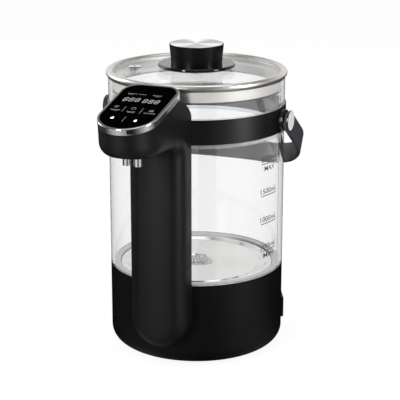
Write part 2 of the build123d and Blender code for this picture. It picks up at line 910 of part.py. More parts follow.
def pivot_rod(radius, start, end):
    """A rod along the pivot axis."""
    return rod(radius, (start, 0, collar_centre_z), (end, 0, collar_centre_z))


def make_pivot_boss(side):
    """Boss between the band and the bail's eye, with a bore for the pin."""
    boss = pivot_rod(boss_radius, side * jar_radius / 2, side * boss_end_x)
    boss -= disc(collar_outer_radius + running_gap, 0, lid_rim_top_z)
    return boss - pivot_rod(pivot_pin_radius, side * (boss_end_x - pivot_pin_depth),
                            side * boss_end_x)


def make_pivot_cap(side):
    """Bright cap with the pin on which the bail turns."""
    inner = bail_outer_x + slip
    cap = pivot_rod(pivot_cap_radius, side * inner, side * (inner + pivot_cap_thickness))
    outer_edge = cap.edges().group_by(Axis.X)[-1 if side > 0 else 0]
    cap = fillet(outer_edge, pivot_cap_edge)
    return cap + pivot_rod(pivot_pin_radius, side * (boss_end_x - pivot_pin_depth), side * inner)


def bail_outline(inset):
    """Plan of the strap at mid height: a closed loop inset from the outer face."""
    half = bail_outer_x - inset
    length = bail_back_y - inset + 2 * bail_width
    loop = Pos(0, length / 2 - 2 * bail_width) * Rectangle(2 * half, length)
    return fillet(loop.vertices().group_by(Axis.Y)[-1], bail_corner_radius - inset)


def bail_side_view():
    """Band seen from the side: a round eye, the sloping arm and the level back."""
    half = bail_width / 2
    arm = math.radians(bail_arm_angle)
    corner_y = (collar_centre_z - bail_back_z) / math.tan(arm)
    shift_y = half * math.sin(arm)
    shift_z = half * math.cos(arm)
    step = half * math.tan(arm / 2)
    far = 2 * bail_back_y
    upper = FilletPolyline((shift_y, collar_centre_z + shift_z),
                           (corner_y + step, bail_back_z + half), (far, bail_back_z + half),
                           radius=bail_bend_radius - half)
    lower = FilletPolyline((-shift_y, collar_centre_z - shift_z),
                           (corner_y - step, bail_back_z - half), (far, bail_back_z - half),
                           radius=bail_bend_radius + half)
    eye = ThreePointArc((shift_y, collar_centre_z + shift_z),
                        (-half * math.cos(arm), collar_centre_z + half * math.sin(arm)),
                        (-shift_y, collar_centre_z - shift_z))
    tail = Line((far, bail_back_z + half), (far, bail_back_z - half))
    return make_face(Plane.YZ.offset(-bail_outer_x) * (upper + tail + lower + eye))


def make_bail_handle():
    """Flat strap: two arms that slope down and back, joined by a leaning back round the jar."""
    lean = math.tan(math.radians(bail_lean))
    below = bail_back_z - bail_width
    loop = Pos(0, -bail_width * lean, below) * (bail_outline(0) - bail_outline(bail_thickness))
    wall = extrude(loop, collar_centre_z + bail_width - below, dir=(0, lean, 1))
    strap = wall & extrude(bail_side_view(), 2 * bail_outer_x, dir=(1, 0, 0))
    long_edges = strap.edges().filter_by(lambda e: e.length > 2 * bail_thickness)
    strap = fillet(long_edges, bail_edge_radius)
    for side in (-1, 1):
        strap -= pivot_rod(pivot_pin_radius + running_gap,
                           side * (bail_inner_x - 1), side * (bail_outer_x + 1))
    return strap


# ---------------------------------------------------------------- lid and knob
def make_lid_rim():
    """Rolled steel rim with a groove for the glass and a skirt that hangs in the jar."""
    middle = lid_rim_radius - lid_rim_width / 2
    half = lid_rim_height / 2 - 2 * near
    section = Plane.XZ * Pos(middle, lid_rim_bottom_z + lid_rim_height / 2) * RectangleRounded(
        lid_rim_width, lid_rim_height, half)
    rim = revolve(section, Axis.Z)
    groove_low = lid_glass_edge_z - lid_glass_thickness - slip
    skirt_inner = lid_rim_inner_radius + lid_skirt_inset
    rim += ring(skirt_inner + lid_skirt_thickness, skirt_inner, lid_skirt_bottom_z, groove_low)
    return rim - ring(lid_glass_radius + fit_gap, lid_rim_inner_radius - fit_gap,
                      groove_low, lid_glass_edge_z + fit_gap)


def make_lid_seal():
    """Dark silicone bead under the skirt."""
    outer = jar_bore_radius - fit_gap
    bead = ring(outer, outer - lid_seal_width, lid_skirt_bottom_z - slip - lid_seal_height,
                lid_skirt_bottom_z - slip)
    return fillet(bead.edges(), lid_seal_edge)


def make_lid_glass():
    """Slightly domed glass disc with a knob hole and a vent hole."""
    edge = lid_glass_radius
    low_edge = lid_glass_edge_z - lid_glass_thickness
    mid_r = edge / 2
    mid_rise = lid_glass_rise * lid_glass_mid_share
    top = ThreePointArc((0, lid_glass_top_z), (mid_r, lid_glass_edge_z + mid_rise),
                        (edge, lid_glass_edge_z))
    under = ThreePointArc((0, lid_glass_top_z - lid_glass_thickness),
                          (mid_r, low_edge + mid_rise), (edge, low_edge))
    side = Line((edge, lid_glass_edge_z), (edge, low_edge))
    axis = Line((0, lid_glass_top_z), (0, lid_glass_top_z - lid_glass_thickness))
    glass = revolve(make_face(Plane.XZ * (top + side + under + axis)), Axis.Z)
    glass -= disc(knob_screw_radius + fit_gap, low_edge - 5, lid_glass_top_z + 5)
    return glass - disc(vent_body_radius + slip, low_edge - 5, lid_glass_top_z + 5, vent_x, vent_y)


def vent_seat_z():
    """Height of the glass's upper face at the highest point of the vent's flange."""
    reach = math.hypot(vent_x, vent_y) - vent_radius
    return lid_glass_edge_z + lid_glass_rise * (1 - (reach / lid_glass_radius) ** 2)


def make_steam_vent():
    """Metal grommet through the glass with a small hole."""
    seat = vent_seat_z() + slip
    top = seat + vent_flange_height
    low = lid_glass_edge_z - lid_glass_thickness - vent_tail
    flange = disc(vent_radius, seat, top, vent_x, vent_y)
    flange = fillet(flange.edges().group_by(Axis.Z)[-1], vent_flange_edge)
    body = flange + disc(vent_body_radius, low, seat, vent_x, vent_y)
    return body - disc(vent_hole_radius, low, top, vent_x, vent_y)


def make_knob_flange():
    """Glossy plate between the glass and the knob."""
    low = lid_glass_top_z + slip
    plate = disc(knob_flange_radius, low, low + knob_flange_thickness - slip)
    plate = fillet(plate.edges(), knob_flange_edge)
    return plate - disc(knob_screw_radius + fit_gap, low, low + knob_flange_thickness)


def make_knob_body():
    """Hollow tapered knob with a screw boss and a seat for the top disc."""
    body = loft([Pos(0, 0, knob_bottom_z) * Circle(knob_bottom_radius),
                 Pos(0, 0, knob_top_z) * Circle(knob_top_radius)])
    body = chamfer(body.edges().group_by(Axis.Z)[-1], knob_edge)
    hollow = disc(knob_bottom_radius - knob_wall, knob_bottom_z, knob_disc_seat_z - knob_wall)
    hollow -= disc(knob_boss_radius, knob_bottom_z, knob_disc_seat_z)
    body -= hollow
    body -= disc(knob_disc_radius + slip, knob_disc_seat_z, knob_top_z)
    return body - disc(knob_screw_radius, knob_bottom_z, knob_disc_seat_z - knob_wall)


def make_knob_disc():
    """Brushed aluminium disc let into the top of the knob."""
    plate = disc(knob_disc_radius, knob_disc_seat_z, knob_disc_seat_z + knob_disc_thickness)
    return chamfer(plate.edges().group_by(Axis.Z)[-1], knob_edge)


def make_knob_gasket():
    """Silicone washer under the glass."""
    top = lid_glass_top_z - lid_glass_thickness - slip
    low = top - knob_gasket_thickness
    return ring(knob_gasket_radius, knob_screw_radius + fit_gap, low, top)


def make_knob_screw():
    """Screw from under the lid into the knob's boss."""
    seat = lid_glass_top_z - lid_glass_thickness - 2 * slip - knob_gasket_thickness
    screw = disc(knob_screw_head_radius, seat - knob_screw_head_height, seat)
    return screw + disc(knob_screw_radius - slip, seat, knob_top_z - knob_disc_thickness - knob_wall)


# ---------------------------------------------------------------- column and head
def column_blank(inset):
    """The column with its head as one solid, or its hollow when inset by the wall.

    The hollow runs on through the column's back and through the panel's seat.
    """
    half = column_half_width - inset
    front = column_front - inset
    hollow = inset > 0
    back = column_back_radius - column_wall * 4
    slab_top = collar_centre_z + collar_height / 2
    left = Line((-half, slab_top), (-half, u_centre_z))
    bowl = ThreePointArc((-half, u_centre_z), (0, u_centre_z - half), (half, u_centre_z))
    right = Line((half, u_centre_z), (half, slab_top))
    lid_line = Line((half, slab_top), (-half, slab_top))
    outline = make_face(Plane.XZ.offset(back) * (left + bowl + right + lid_line))
    head = head_prism(inset)
    if hollow:
        head += block((-half, -(shoulder_front - inset), head_underside_z),
                      (half, -back, slab_top))
    else:
        head += shoulder_blank()
    floor = underside_plane(inset)
    head = split(head, bisect_by=floor, keep=Keep.TOP)
    form = extrude(outline, front - back, dir=(0, -1, 0)) + head
    form = split(form, bisect_by=seat_plane().offset(4 * column_wall if hollow else 0),
                 keep=Keep.BOTTOM)
    under = floor_z(front, inset)
    crease = form.edges().filter_by(Axis.X).filter_by(
        lambda e: abs(e.center().Y + front) < near and abs(e.center().Z - under) < near)
    form = fillet(crease, column_inner_corner_radius + inset)
    rim = form.edges().filter_by(lambda e: on_front_rim(e, half, front, inset))
    return fillet(rim, column_edge_radius - inset)


def underside_plane(inset):
    """Plane of the head's underside, which rises a little towards the spouts."""
    tilt = math.radians(head_underside_slope)
    normal = Vector(0, math.sin(tilt), math.cos(tilt))
    origin = Vector(0, -column_front, head_underside_z) + normal * inset
    return Plane(origin=origin, x_dir=(1, 0, 0), z_dir=normal)


def floor_z(distance, inset):
    """Height of the underside, moved in by an inset, at a distance from the jar's axis."""
    tilt = math.radians(head_underside_slope)
    return head_underside_z + inset / math.cos(tilt) + (distance - column_front) * math.tan(tilt)


def on_front_rim(edge, half, front, inset):
    """Whether an edge belongs to the rounded rim that runs up the column and round the head."""
    middle = edge @ 0.5
    under = floor_z(front, inset)
    bend = column_inner_corner_radius + inset
    across = edge.geom_type == GeomType.LINE and abs(middle.X) < near
    on_face = abs(middle.Y + front) < near and middle.Z < under
    on_floor = abs(middle.Z - floor_z(-middle.Y, inset)) < near and middle.Y < -front
    in_bend = (abs(abs(middle.X) - half) < near and -front - bend < middle.Y < -front
               and under - bend < middle.Z < under)
    return in_bend or (not across and (on_face or on_floor))


def seat_plane():
    """Plane on which the trim ring sits."""
    return Plane(origin=(0, -panel_rear, seat_rear_z), x_dir=(1, 0, 0), z_dir=panel_plane.z_dir)


def head_prism(inset):
    """Overhanging head: the panel's outline, leaning in towards its underside at the front."""
    growth = ring_width - head_reveal - inset
    lean = math.tan(math.radians(head_lean))
    low = head_underside_z - column_wall
    shift = ring_height * math.sin(slope)
    rear = panel_rear - growth * math.cos(slope) - shift
    tip = panel_rear + (panel_length + growth) * math.cos(slope) - shift
    rear_low = rear - (seat_z(rear) - low) * lean
    tip_low = tip - (seat_z(tip) - low) * lean
    half = column_half_width - inset
    outline = tongue(half, tip_low - rear_low, panel_rear_corner + growth,
                     panel_front_corner + growth)
    base = Pos(0, -rear_low, low) * outline
    return extrude(base, panel_rear_z + 5 * column_wall - low, dir=(0, -lean, 1))


def seat_z(distance):
    """Height of the ring's seat at a distance from the jar's axis."""
    return seat_rear_z - (distance - panel_rear) * math.tan(slope)


def shoulder_blank():
    """Rounded top of the column behind the panel."""
    half = column_half_width
    top_plane = seat_plane().offset(-shoulder_drop)
    blank = block((-half, -shoulder_front, head_underside_z), (half, -shoulder_back, panel_rear_z + 9))
    blank = split(blank, bisect_by=top_plane, keep=Keep.BOTTOM)
    rear_edge = blank.edges().filter_by(Axis.X).sort_by(Axis.Z)[-1]
    blank = fillet(rear_edge, shoulder_back_radius)
    sides = blank.edges().filter_by(
        lambda e: abs(abs((e @ 0.5).X) - half) < near
        and abs((e % 0.5).Z) < 0.95 and (e @ 0.5).Z > head_underside_z + 1)
    blank = fillet(sides, shoulder_side_radius)
    return blank - disc(column_back_radius, 0, panel_rear_z * 2)


def column_screw_z():
    """Height of the screws between the base and the column."""
    return u_centre_z - column_screw_drop


def make_column_shell():
    """Front shell of the column with the head, hollow and open behind and under the panel."""
    shell = column_blank(0) - disc(jar_radius + slip, 0, jar_bottom_z + slip)
    shell -= disc(column_back_radius, jar_bottom_z, 2 * panel_rear_z)
    cavity = column_blank(column_wall)
    shell -= cavity
    for x in (-column_boss_x, column_boss_x):
        start = (x, -column_front + column_wall / 2, column_screw_z())
        end = (x, -jar_radius / 2, column_screw_z())
        boss = rod(column_boss_radius, start, end) - disc(jar_radius + slip, 0, jar_bottom_z)
        shell += boss
        shell -= rod(column_screw_radius, (x, -column_front + 2 * column_wall, column_screw_z()), end)
    for x in (-spout_x, spout_x):
        shell -= disc(spout_radius + slip, 0, spout_block_z() + fit_gap, x, spout_y)
    return shell


def make_column_screws():
    """Two screws from inside the base into the column's bosses."""
    reach = column_boss_x + column_screw_head_radius
    seat = math.sqrt(base_inner_radius ** 2 - reach ** 2) - slip
    screws = []
    for x in (-column_boss_x, column_boss_x):
        z = column_screw_z()
        head = rod(column_screw_head_radius, (x, -(seat - column_screw_head_height), z),
                   (x, -seat, z))
        shank = rod(column_screw_radius - slip, (x, -seat, z),
                    (x, -column_front + 2 * column_wall + fit_gap, z))
        screws.append(head + shank)
    return screws


def make_rear_cover():
    """Curved cover that closes the column's back towards the jar."""
    inner = column_back_radius + slip
    sheet = ring(inner + rear_cover_thickness, inner, jar_bottom_z + fit_gap,
                 collar_centre_z + collar_height / 2 - fit_gap)
    half = column_half_width - column_wall - 2 * slip
    return sheet & block((-half, -2 * base_radius, 0), (half, 0, 2 * collar_centre_z))


def ring_blank():
    """The trim ring's outer solid, before its opening."""
    blank = on_panel(grown_tongue(ring_width), -ring_height, 0)
    return fillet(blank.edges().group_by(Axis((0, 0, 0), tuple(panel_plane.z_dir)))[-1],
                  ring_edge_radius)


def window_tool(gap):
    """Rounded block that marks the small dark window in the ring's front."""
    centre_y = -(panel_length - panel_front_corner)
    outer = panel_front_corner + ring_width
    start = outer - window_depth - gap
    turn = Rot(0, 0, window_angle)
    face = Pos(0, centre_y, -ring_height / 2) * turn * Pos(0, -start, 0) * Rot(90, 0, 0)
    patch = RectangleRounded(window_width + 2 * gap, window_height + 2 * gap,
                             window_corner_radius + gap)
    return extrude(panel_plane * face * patch, 2 * window_depth)


def make_trim_ring():
    """Bright ring round the panel with a ledge that carries the glass."""
    body = ring_blank()
    body -= on_panel(grown_tongue(slip), -panel_thickness - slip, 1)
    body -= on_panel(grown_tongue(-ring_ledge), -ring_height - 1, 1)
    return body - window_tool(slip)


def make_sensor_window():
    """Dark window let into the front of the ring."""
    return ring_blank() & window_tool(0)


def make_touch_panel():
    """Black glass panel."""
    return on_panel(grown_tongue(0), -panel_thickness, -panel_recess)


def make_display_board():
    """Circuit board under the ring's ledge."""
    top = -ring_height - slip
    return on_panel(grown_tongue(-display_inset), top - display_thickness, top)


def make_digit_modules():
    """Two three-digit modules between the board and the glass."""
    modules = []
    for side in (-1, 1):
        middle = side * (digit_width / 2 + digit_half_gap)
        patch = Pos(middle, -digit_row) * Rectangle(digit_width, digit_depth)
        modules.append(on_panel(patch, -ring_height - slip, -ring_height - slip + digit_height))
    return modules


def make_touch_springs():
    """Contacts from the board up to the touch fields of the glass."""
    places = [(x, -touch_row) for x in (-touch_pitch, 0, touch_pitch)]
    places += [(x, -touch_lower_row) for x in (-touch_lower_x, touch_lower_x)]
    return [on_panel(Pos(x, y) * Circle(touch_spring_radius), -ring_height - slip,
                     -panel_thickness - slip)
            for x, y in places]


# ---------------------------------------------------------------- all nodes
def all_nodes():
    """Every node by name."""
    return {
        "base_housing": make_base_housing(),
        "bottom_plate": make_bottom_plate(),
        "rubber_feet": make_rubber_feet(),
        "bottom_screws": make_bottom_screws(),
        "jar_seat": make_jar_seat(),
        "glass_jar": make_glass_jar(),
        "heating_plate": make_heating_plate(),
        "strainer": make_strainer(),
        "heat_spreader": make_heat_spreader(),
        "heating_element": make_heating_element(),
        "thermal_cutouts": make_thermal_cutouts(),
        "temperature_sensor": make_temperature_sensor(),
        "drain_fitting": make_drain_fitting(),
        "suction_hose": make_suction_hose(),
        "pump_housing": make_pump_housing(),
        "pump_impeller": make_pump_impeller(),
        "pump_motor": make_pump_motor(),
        "pump_cradle": make_pump_cradle(),
        "riser_hose": make_riser_hose(),
        "spout_block": make_spout_block(),
        "spout_left": make_spout(-spout_x),
        "spout_right": make_spout(spout_x),
        "power_board": make_power_board(),
        "board_standoffs": make_board_standoffs(),
        "board_components": make_board_components(),
        "display_cable": make_display_cable(),
        "power_inlet": make_power_inlet(),
        "inlet_pins": make_inlet_pins(),
        "collar_liner": make_collar_liner(),
        "collar_band": make_collar_band(),
        "pivot_boss_left": make_pivot_boss(-1),
        "pivot_boss_right": make_pivot_boss(1),
        "pivot_cap_left": make_pivot_cap(-1),
        "pivot_cap_right": make_pivot_cap(1),
        "bail_handle": make_bail_handle(),
        "lid_rim": make_lid_rim(),
        "lid_seal": make_lid_seal(),
        "lid_glass": make_lid_glass(),
        "steam_vent": make_steam_vent(),
        "knob_flange": make_knob_flange(),
        "knob_body": make_knob_body(),
        "knob_disc": make_knob_disc(),
        "knob_gasket": make_knob_gasket(),
        "knob_screw": make_knob_screw(),
        "column_shell": make_column_shell(),
        "column_screws": make_column_screws(),
        "rear_cover": make_rear_cover(),
        "trim_ring": make_trim_ring(),
        "sensor_window": make_sensor_window(),
        "touch_panel": make_touch_panel(),
        "display_board": make_display_board(),
        "digit_modules": make_digit_modules(),
        "touch_springs": make_touch_springs(),
    }


def write_node(name, shape):
    """Write one node's solids to its STEP file."""
    solids = []
    for piece in shape if isinstance(shape, list) else [shape]:
        solids.extend(piece.solids())
    whole = solids[0] if len(solids) == 1 else Compound(children=solids)
    export_step(whole, f"parts/{name}.step")
    print(f"{name}: {len(solids)} solid(s)")


if __name__ == "__main__":
    os.makedirs("parts", exist_ok=True)
    for node_name, node_shape in all_nodes().items():
        write_node(node_name, node_shape)
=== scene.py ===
import logging
import math
from dataclasses import dataclass
from enum import Enum
from functools import cache
from typing import Callable, Iterable, Sequence

import bpy
from mathutils import Matrix, Vector


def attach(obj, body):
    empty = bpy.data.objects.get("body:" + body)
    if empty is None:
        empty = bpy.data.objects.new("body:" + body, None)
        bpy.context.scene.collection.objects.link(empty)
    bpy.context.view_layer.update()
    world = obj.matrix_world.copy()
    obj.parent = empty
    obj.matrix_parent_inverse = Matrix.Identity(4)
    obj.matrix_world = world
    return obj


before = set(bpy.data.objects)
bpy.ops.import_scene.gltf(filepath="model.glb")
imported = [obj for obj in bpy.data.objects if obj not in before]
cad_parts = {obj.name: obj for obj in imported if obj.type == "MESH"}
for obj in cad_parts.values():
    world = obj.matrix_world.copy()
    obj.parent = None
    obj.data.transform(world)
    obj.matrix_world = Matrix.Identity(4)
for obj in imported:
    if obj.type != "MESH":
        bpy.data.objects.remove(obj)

MM = 0.001
Color = tuple[float, float, float]
Point = tuple[float, float, float]
Piece = bpy.types.Object
Material = bpy.types.Material
Tree = bpy.types.NodeTree
Node = bpy.types.Node
Socket = bpy.types.NodeSocket

log = logging.getLogger("thermo_pot")


# ---------------------------------------------------------------- working by hand
def clear_selection() -> None:
    """Deselect everything, so that an operator acts on the new piece alone."""
    if bpy.context.object and bpy.context.object.mode != "OBJECT":
        bpy.ops.object.mode_set(mode="OBJECT")
    bpy.ops.object.select_all(action="DESELECT")


def take(piece: Piece) -> None:
    """Select one piece and make it the active one.

    Args:
        piece: the object that the next operators work on.
    """
    clear_selection()
    piece.select_set(True)
    bpy.context.view_layer.objects.active = piece


def fix_place(piece: Piece) -> Piece:
    """Put the piece's place, turn and size into its mesh.

    Args:
        piece: a mesh object.

    Returns:
        The same object, at the origin.
    """
    take(piece)
    bpy.ops.object.transform_apply(location=True, rotation=True, scale=True)
    return piece


def leave_edit() -> None:
    """Go back to object mode."""
    bpy.ops.object.mode_set(mode="OBJECT")


def join_pieces(pieces: Sequence[Piece], name: str) -> Piece:
    """Join several meshes into one piece.

    Args:
        pieces: mesh objects.
        name: the name of the joined piece.

    Returns:
        The joined object.
    """
    take(pieces[0])
    for piece in pieces[1:]:
        piece.select_set(True)
    bpy.ops.object.join()
    joined = bpy.context.object
    joined.name = name
    joined.data.name = name
    return joined


def reshape(piece: Piece, move: Callable[[Vector], Vector]) -> Piece:
    """Move every point of a piece.

    Args:
        piece: the mesh object.
        move: gives a point's new place.

    Returns:
        The same object.
    """
    for vertex in piece.data.vertices:
        vertex.co = move(vertex.co)
    piece.data.update()
    return piece


# ---------------------------------------------------------------- shader nodes
def wire(tree: Tree, node: Node, inputs: dict) -> None:
    """Set some of a node's inputs.

    Args:
        tree: the node tree.
        node: one of its nodes.
        inputs: values or sockets, by the input's name or number.
    """
    for key, value in inputs.items():
        if isinstance(value, Socket):
            tree.links.new(value, node.inputs[key])
        else:
            node.inputs[key].default_value = value


def shader_node(tree: Tree, kind: str, inputs: dict | None = None, **settings: object) -> Node:
    """Add a node to a tree.

    Args:
        tree: the node tree.
        kind: the node's type.
        inputs: what goes into it, as for wire.
        settings: the node's own settings.

    Returns:
        The new node.
    """
    node = tree.nodes.new(kind)
    for key, value in settings.items():
        setattr(node, key, value)
    wire(tree, node, inputs or {})
    return node


def maths(tree: Tree, operation: str, *values: object, clamp: bool = False) -> Socket:
    """Do one step of arithmetic.

    Args:
        tree: the node tree.
        operation: the step.
        values: one or two numbers or sockets.
        clamp: whether the result stays between 0 and 1.

    Returns:
        The result's socket.
    """
    node = shader_node(tree, "ShaderNodeMath", dict(enumerate(values)), operation=operation,
                       use_clamp=clamp)
    return node.outputs["Value"]


def ramp(tree: Tree, value: Socket, low: float, high: float, start: float, end: float) -> Socket:
    """Map a value from one range to another, clamped.

    Args:
        tree: the node tree.
        value: the socket to map.
        low: the value that gives start.
        high: the value that gives end.
        start: the result at low.
        end: the result at high.

    Returns:
        The mapped value's socket.
    """
    node = shader_node(tree, "ShaderNodeMapRange", {
        "Value": value, "From Min": low, "From Max": high, "To Min": start, "To Max": end})
    return node.outputs["Result"]


def new_effect(name: str, inputs: dict[str, float], outputs: Iterable[str]) -> Tree:
    """Make an empty effect group.

    Args:
        name: the group's name.
        inputs: its number inputs and their usual values.
        outputs: the names of its number outputs.

    Returns:
        The group's tree.
    """
    tree = bpy.data.node_groups.new(name, "ShaderNodeTree")
    for key, value in inputs.items():
        socket = tree.interface.new_socket(key, in_out="INPUT", socket_type="NodeSocketFloat")
        socket.default_value = value
    for key in outputs:
        tree.interface.new_socket(key, in_out="OUTPUT", socket_type="NodeSocketFloat")
    return tree


class Effects:
    """Effects that several finishes share, each built once as a node group."""

    SPECK_RANGE = (0.68, 0.74)
    SPECK_SHARE = 0.35

    @classmethod
    @cache
    def grain(cls) -> Tree:
        """Fine moulded grain: a height and a slow change of sheen."""
        tree = new_effect("moulded_grain", {"Size": 3000.0, "Spread": 30.0}, ["Height", "Sheen"])
        given = shader_node(tree, "NodeGroupInput")
        place = shader_node(tree, "ShaderNodeTexCoord").outputs["Object"]
        fine = shader_node(tree, "ShaderNodeTexNoise", {
            "Vector": place, "Scale": given.outputs["Size"], "Detail": 2.0, "Roughness": 0.6})
        slow = shader_node(tree, "ShaderNodeTexNoise", {
            "Vector": place, "Scale": given.outputs["Spread"], "Detail": 3.0})
        shader_node(tree, "NodeGroupOutput", {
            "Height": fine.outputs["Fac"], "Sheen": slow.outputs["Fac"]})
        return tree

    @classmethod
    @cache
    def brushing(cls) -> Tree:
        """Fine lines round the Z axis, as a lathe leaves them."""
        tree = new_effect("turned_lines", {"Density": 9000.0, "Spread": 40.0},
                          ["Height", "Streak"])
        given = shader_node(tree, "NodeGroupInput")
        place = shader_node(tree, "ShaderNodeTexCoord").outputs["Object"]
        parts = shader_node(tree, "ShaderNodeSeparateXYZ", {"Vector": place})
        flat = shader_node(tree, "ShaderNodeCombineXYZ", {
            "X": parts.outputs["X"], "Y": parts.outputs["Y"]})
        radius = shader_node(tree, "ShaderNodeVectorMath", {0: flat.outputs["Vector"]},
                             operation="LENGTH")
        across = maths(tree, "ADD", radius.outputs["Value"], parts.outputs["Z"])
        lines = shader_node(tree, "ShaderNodeTexNoise", {
            "W": across, "Scale": given.outputs["Density"], "Detail": 3.0},
            noise_dimensions="1D")
        slow = shader_node(tree, "ShaderNodeTexNoise", {
            "Vector": place, "Scale": given.outputs["Spread"], "Detail": 2.0})
        shader_node(tree, "NodeGroupOutput", {
            "Height": lines.outputs["Fac"], "Streak": slow.outputs["Fac"]})
        return tree

    @classmethod
    @cache
    def handling(cls) -> Tree:
        """Faint wipe marks and dust, for gloss that people touch."""
        tree = new_effect("handling_marks", {"Spread": 18.0}, ["Marks"])
        given = shader_node(tree, "NodeGroupInput")
        place = shader_node(tree, "ShaderNodeTexCoord").outputs["Object"]
        stretch = shader_node(tree, "ShaderNodeMapping", {
            "Vector": place, "Scale": (1.0, 1.0, 0.35)})
        wide = shader_node(tree, "ShaderNodeTexNoise", {
            "Vector": stretch.outputs["Vector"], "Scale": given.outputs["Spread"],
            "Detail": 5.0, "Distortion": 0.8})
        specks = shader_node(tree, "ShaderNodeTexNoise", {
            "Vector": place, "Scale": 1400.0, "Detail": 1.0})
        dots = ramp(tree, specks.outputs["Fac"], *cls.SPECK_RANGE, 0.0, cls.SPECK_SHARE)
        shader_node(tree, "NodeGroupOutput", {
            "Marks": maths(tree, "ADD", wide.outputs["Fac"], dots)})
        return tree


@dataclass(frozen=True)
class Finish:
    """What every finish has: a name and a base colour."""

    name: str
    color: Color

    def start(self) -> tuple[Material, Tree, Node]:
        """Make the material with its Principled shader.

        Returns:
            The material, its tree and the shader node.
        """
        material = bpy.data.materials.new(self.name)
        material.use_nodes = True
        tree = material.node_tree
        tree.nodes.clear()
        shader = shader_node(tree, "ShaderNodeBsdfPrincipled", {
            "Base Color": (*self.color, 1.0)})
        shader_node(tree, "ShaderNodeOutputMaterial", {"Surface": shader.outputs["BSDF"]})
        material.diffuse_color = (*self.color, 1.0)
        return material, tree, shader

    def effect(self, tree: Tree, group: Tree, values: dict[str, float]) -> Node:
        """Place an effect group in a material.

        Args:
            tree: the material's tree.
            group: the effect.
            values: its inputs.

        Returns:
            The group node.
        """
        node = shader_node(tree, "ShaderNodeGroup", node_tree=group)
        wire(tree, node, values)
        return node

    def tinted(self, tree: Tree, mask: Socket, other: Color) -> Socket:
        """Mix the base colour with another one.

        Args:
            tree: the material's tree.
            mask: how much of the other colour shows.
            other: the other colour.

        Returns:
            The colour's socket.
        """
        mix = shader_node(tree, "ShaderNodeMix", {
            "Factor": mask, "A": (*self.color, 1.0), "B": (*other, 1.0)}, data_type="RGBA")
        return mix.outputs["Result"]

    def blended(self, tree: Tree, share: Socket, shader: Node, other: Node) -> None:
        """Blend the surface's shader with a second one.

        Args:
            tree: the material's tree.
            share: how much of the second shader shows.
            shader: the Principled shader.
            other: the second shader.
        """
        mix = shader_node(tree, "ShaderNodeMixShader", {
            0: share, 1: shader.outputs["BSDF"], 2: other.outputs["BSDF"]})
        output = next(n for n in tree.nodes if n.type == "OUTPUT_MATERIAL")
        wire(tree, output, {"Surface": mix.outputs["Shader"]})

    def build(self) -> Material:
        """Build the material. Each kind of finish has its own way."""
        raise NotImplementedError


@dataclass(frozen=True)
class Uneven(Finish):
    """A finish whose roughness and relief vary a little over the piece."""

    roughness: float = 0.4
    spread: float = 0.05
    depth: float = 0.02
    SHEEN_RANGE = (0.3, 0.7)

    def sheen(self, tree: Tree, noise: Socket) -> Socket:
        """Let the roughness vary.

        Args:
            tree: the material's tree.
            noise: the noise that it follows.

        Returns:
            The roughness's socket.
        """
        return ramp(tree, noise, *self.SHEEN_RANGE, self.roughness - self.spread,
                    self.roughness + self.spread)

    def relief(self, tree: Tree, height: Socket, strength: float) -> Node:
        """Raise a fine relief.

        Args:
            tree: the material's tree.
            height: the relief's height.
            strength: how strongly it shows.

        Returns:
            The node that gives the surface's normal.
        """
        return shader_node(tree, "ShaderNodeBump", {
            "Height": height, "Strength": strength, "Distance": self.depth * MM})


@dataclass(frozen=True)
class Moulded(Uneven):
    """Moulded or painted plastic with a fine grain."""

    spread: float = 0.06
    grain: float = 3200.0
    specular: float = 0.5
    worn: Color = (0.06, 0.06, 0.06)
    wear: float = 0.18
    crown: float = 0.0
    quiet_edge: float = 0.0
    EDGE_RANGE = (0.45, 0.95)
    DUST_RANGE = (0.55, 1.2)

    def quietened(self, tree: Tree, shader: Node) -> None:
        """Take gloss away where the surface turns from view, as a dull moulding does.

        Args:
            tree: the material's tree.
            shader: the Principled shader.
        """
        facing = shader_node(tree, "ShaderNodeLayerWeight", {"Blend": 0.5}).outputs["Facing"]
        share = ramp(tree, facing, *self.EDGE_RANGE, 0.0, self.quiet_edge)
        matt = shader_node(tree, "ShaderNodeBsdfDiffuse", {"Color": (*self.color, 1.0)})
        self.blended(tree, share, shader, matt)

    def crown_under(self, tree: Tree, grain: Node) -> None:
        """Let the front bulge a little under its grain, as a thin moulding does.

        Args:
            tree: the material's tree.
            grain: the node whose normal lies on top.
        """
        place = shader_node(tree, "ShaderNodeTexCoord").outputs["Object"]
        across = shader_node(tree, "ShaderNodeSeparateXYZ", {"Vector": place}).outputs["X"]
        square = maths(tree, "MULTIPLY", across, across)
        # A shallow arc of radius crown drops by the square over twice the radius.
        rise = maths(tree, "MULTIPLY", square, -0.5 / self.crown)
        bulge = shader_node(tree, "ShaderNodeBump", {
            "Height": rise, "Strength": 1.0, "Distance": 1.0})
        wire(tree, grain, {"Normal": bulge.outputs["Normal"]})

    def build(self) -> Material:
        """Build the material.

        Returns:
            The material.
        """
        material, tree, shader = self.start()
        grain = self.effect(tree, Effects.grain(), {"Size": self.grain, "Spread": 26.0})
        marks = self.effect(tree, Effects.handling(), {"Spread": 14.0})
        dust = ramp(tree, marks.outputs["Marks"], *self.DUST_RANGE, 0.0, self.wear)
        bump = self.relief(tree, grain.outputs["Height"], 0.25)
        wire(tree, shader, {
            "Roughness": self.sheen(tree, grain.outputs["Sheen"]),
            "Base Color": self.tinted(tree, dust, self.worn),
            "Normal": bump.outputs["Normal"], "Specular IOR Level": self.specular})
        if self.crown:
            self.crown_under(tree, bump)
        if self.quiet_edge:
            self.quietened(tree, shader)
        return material


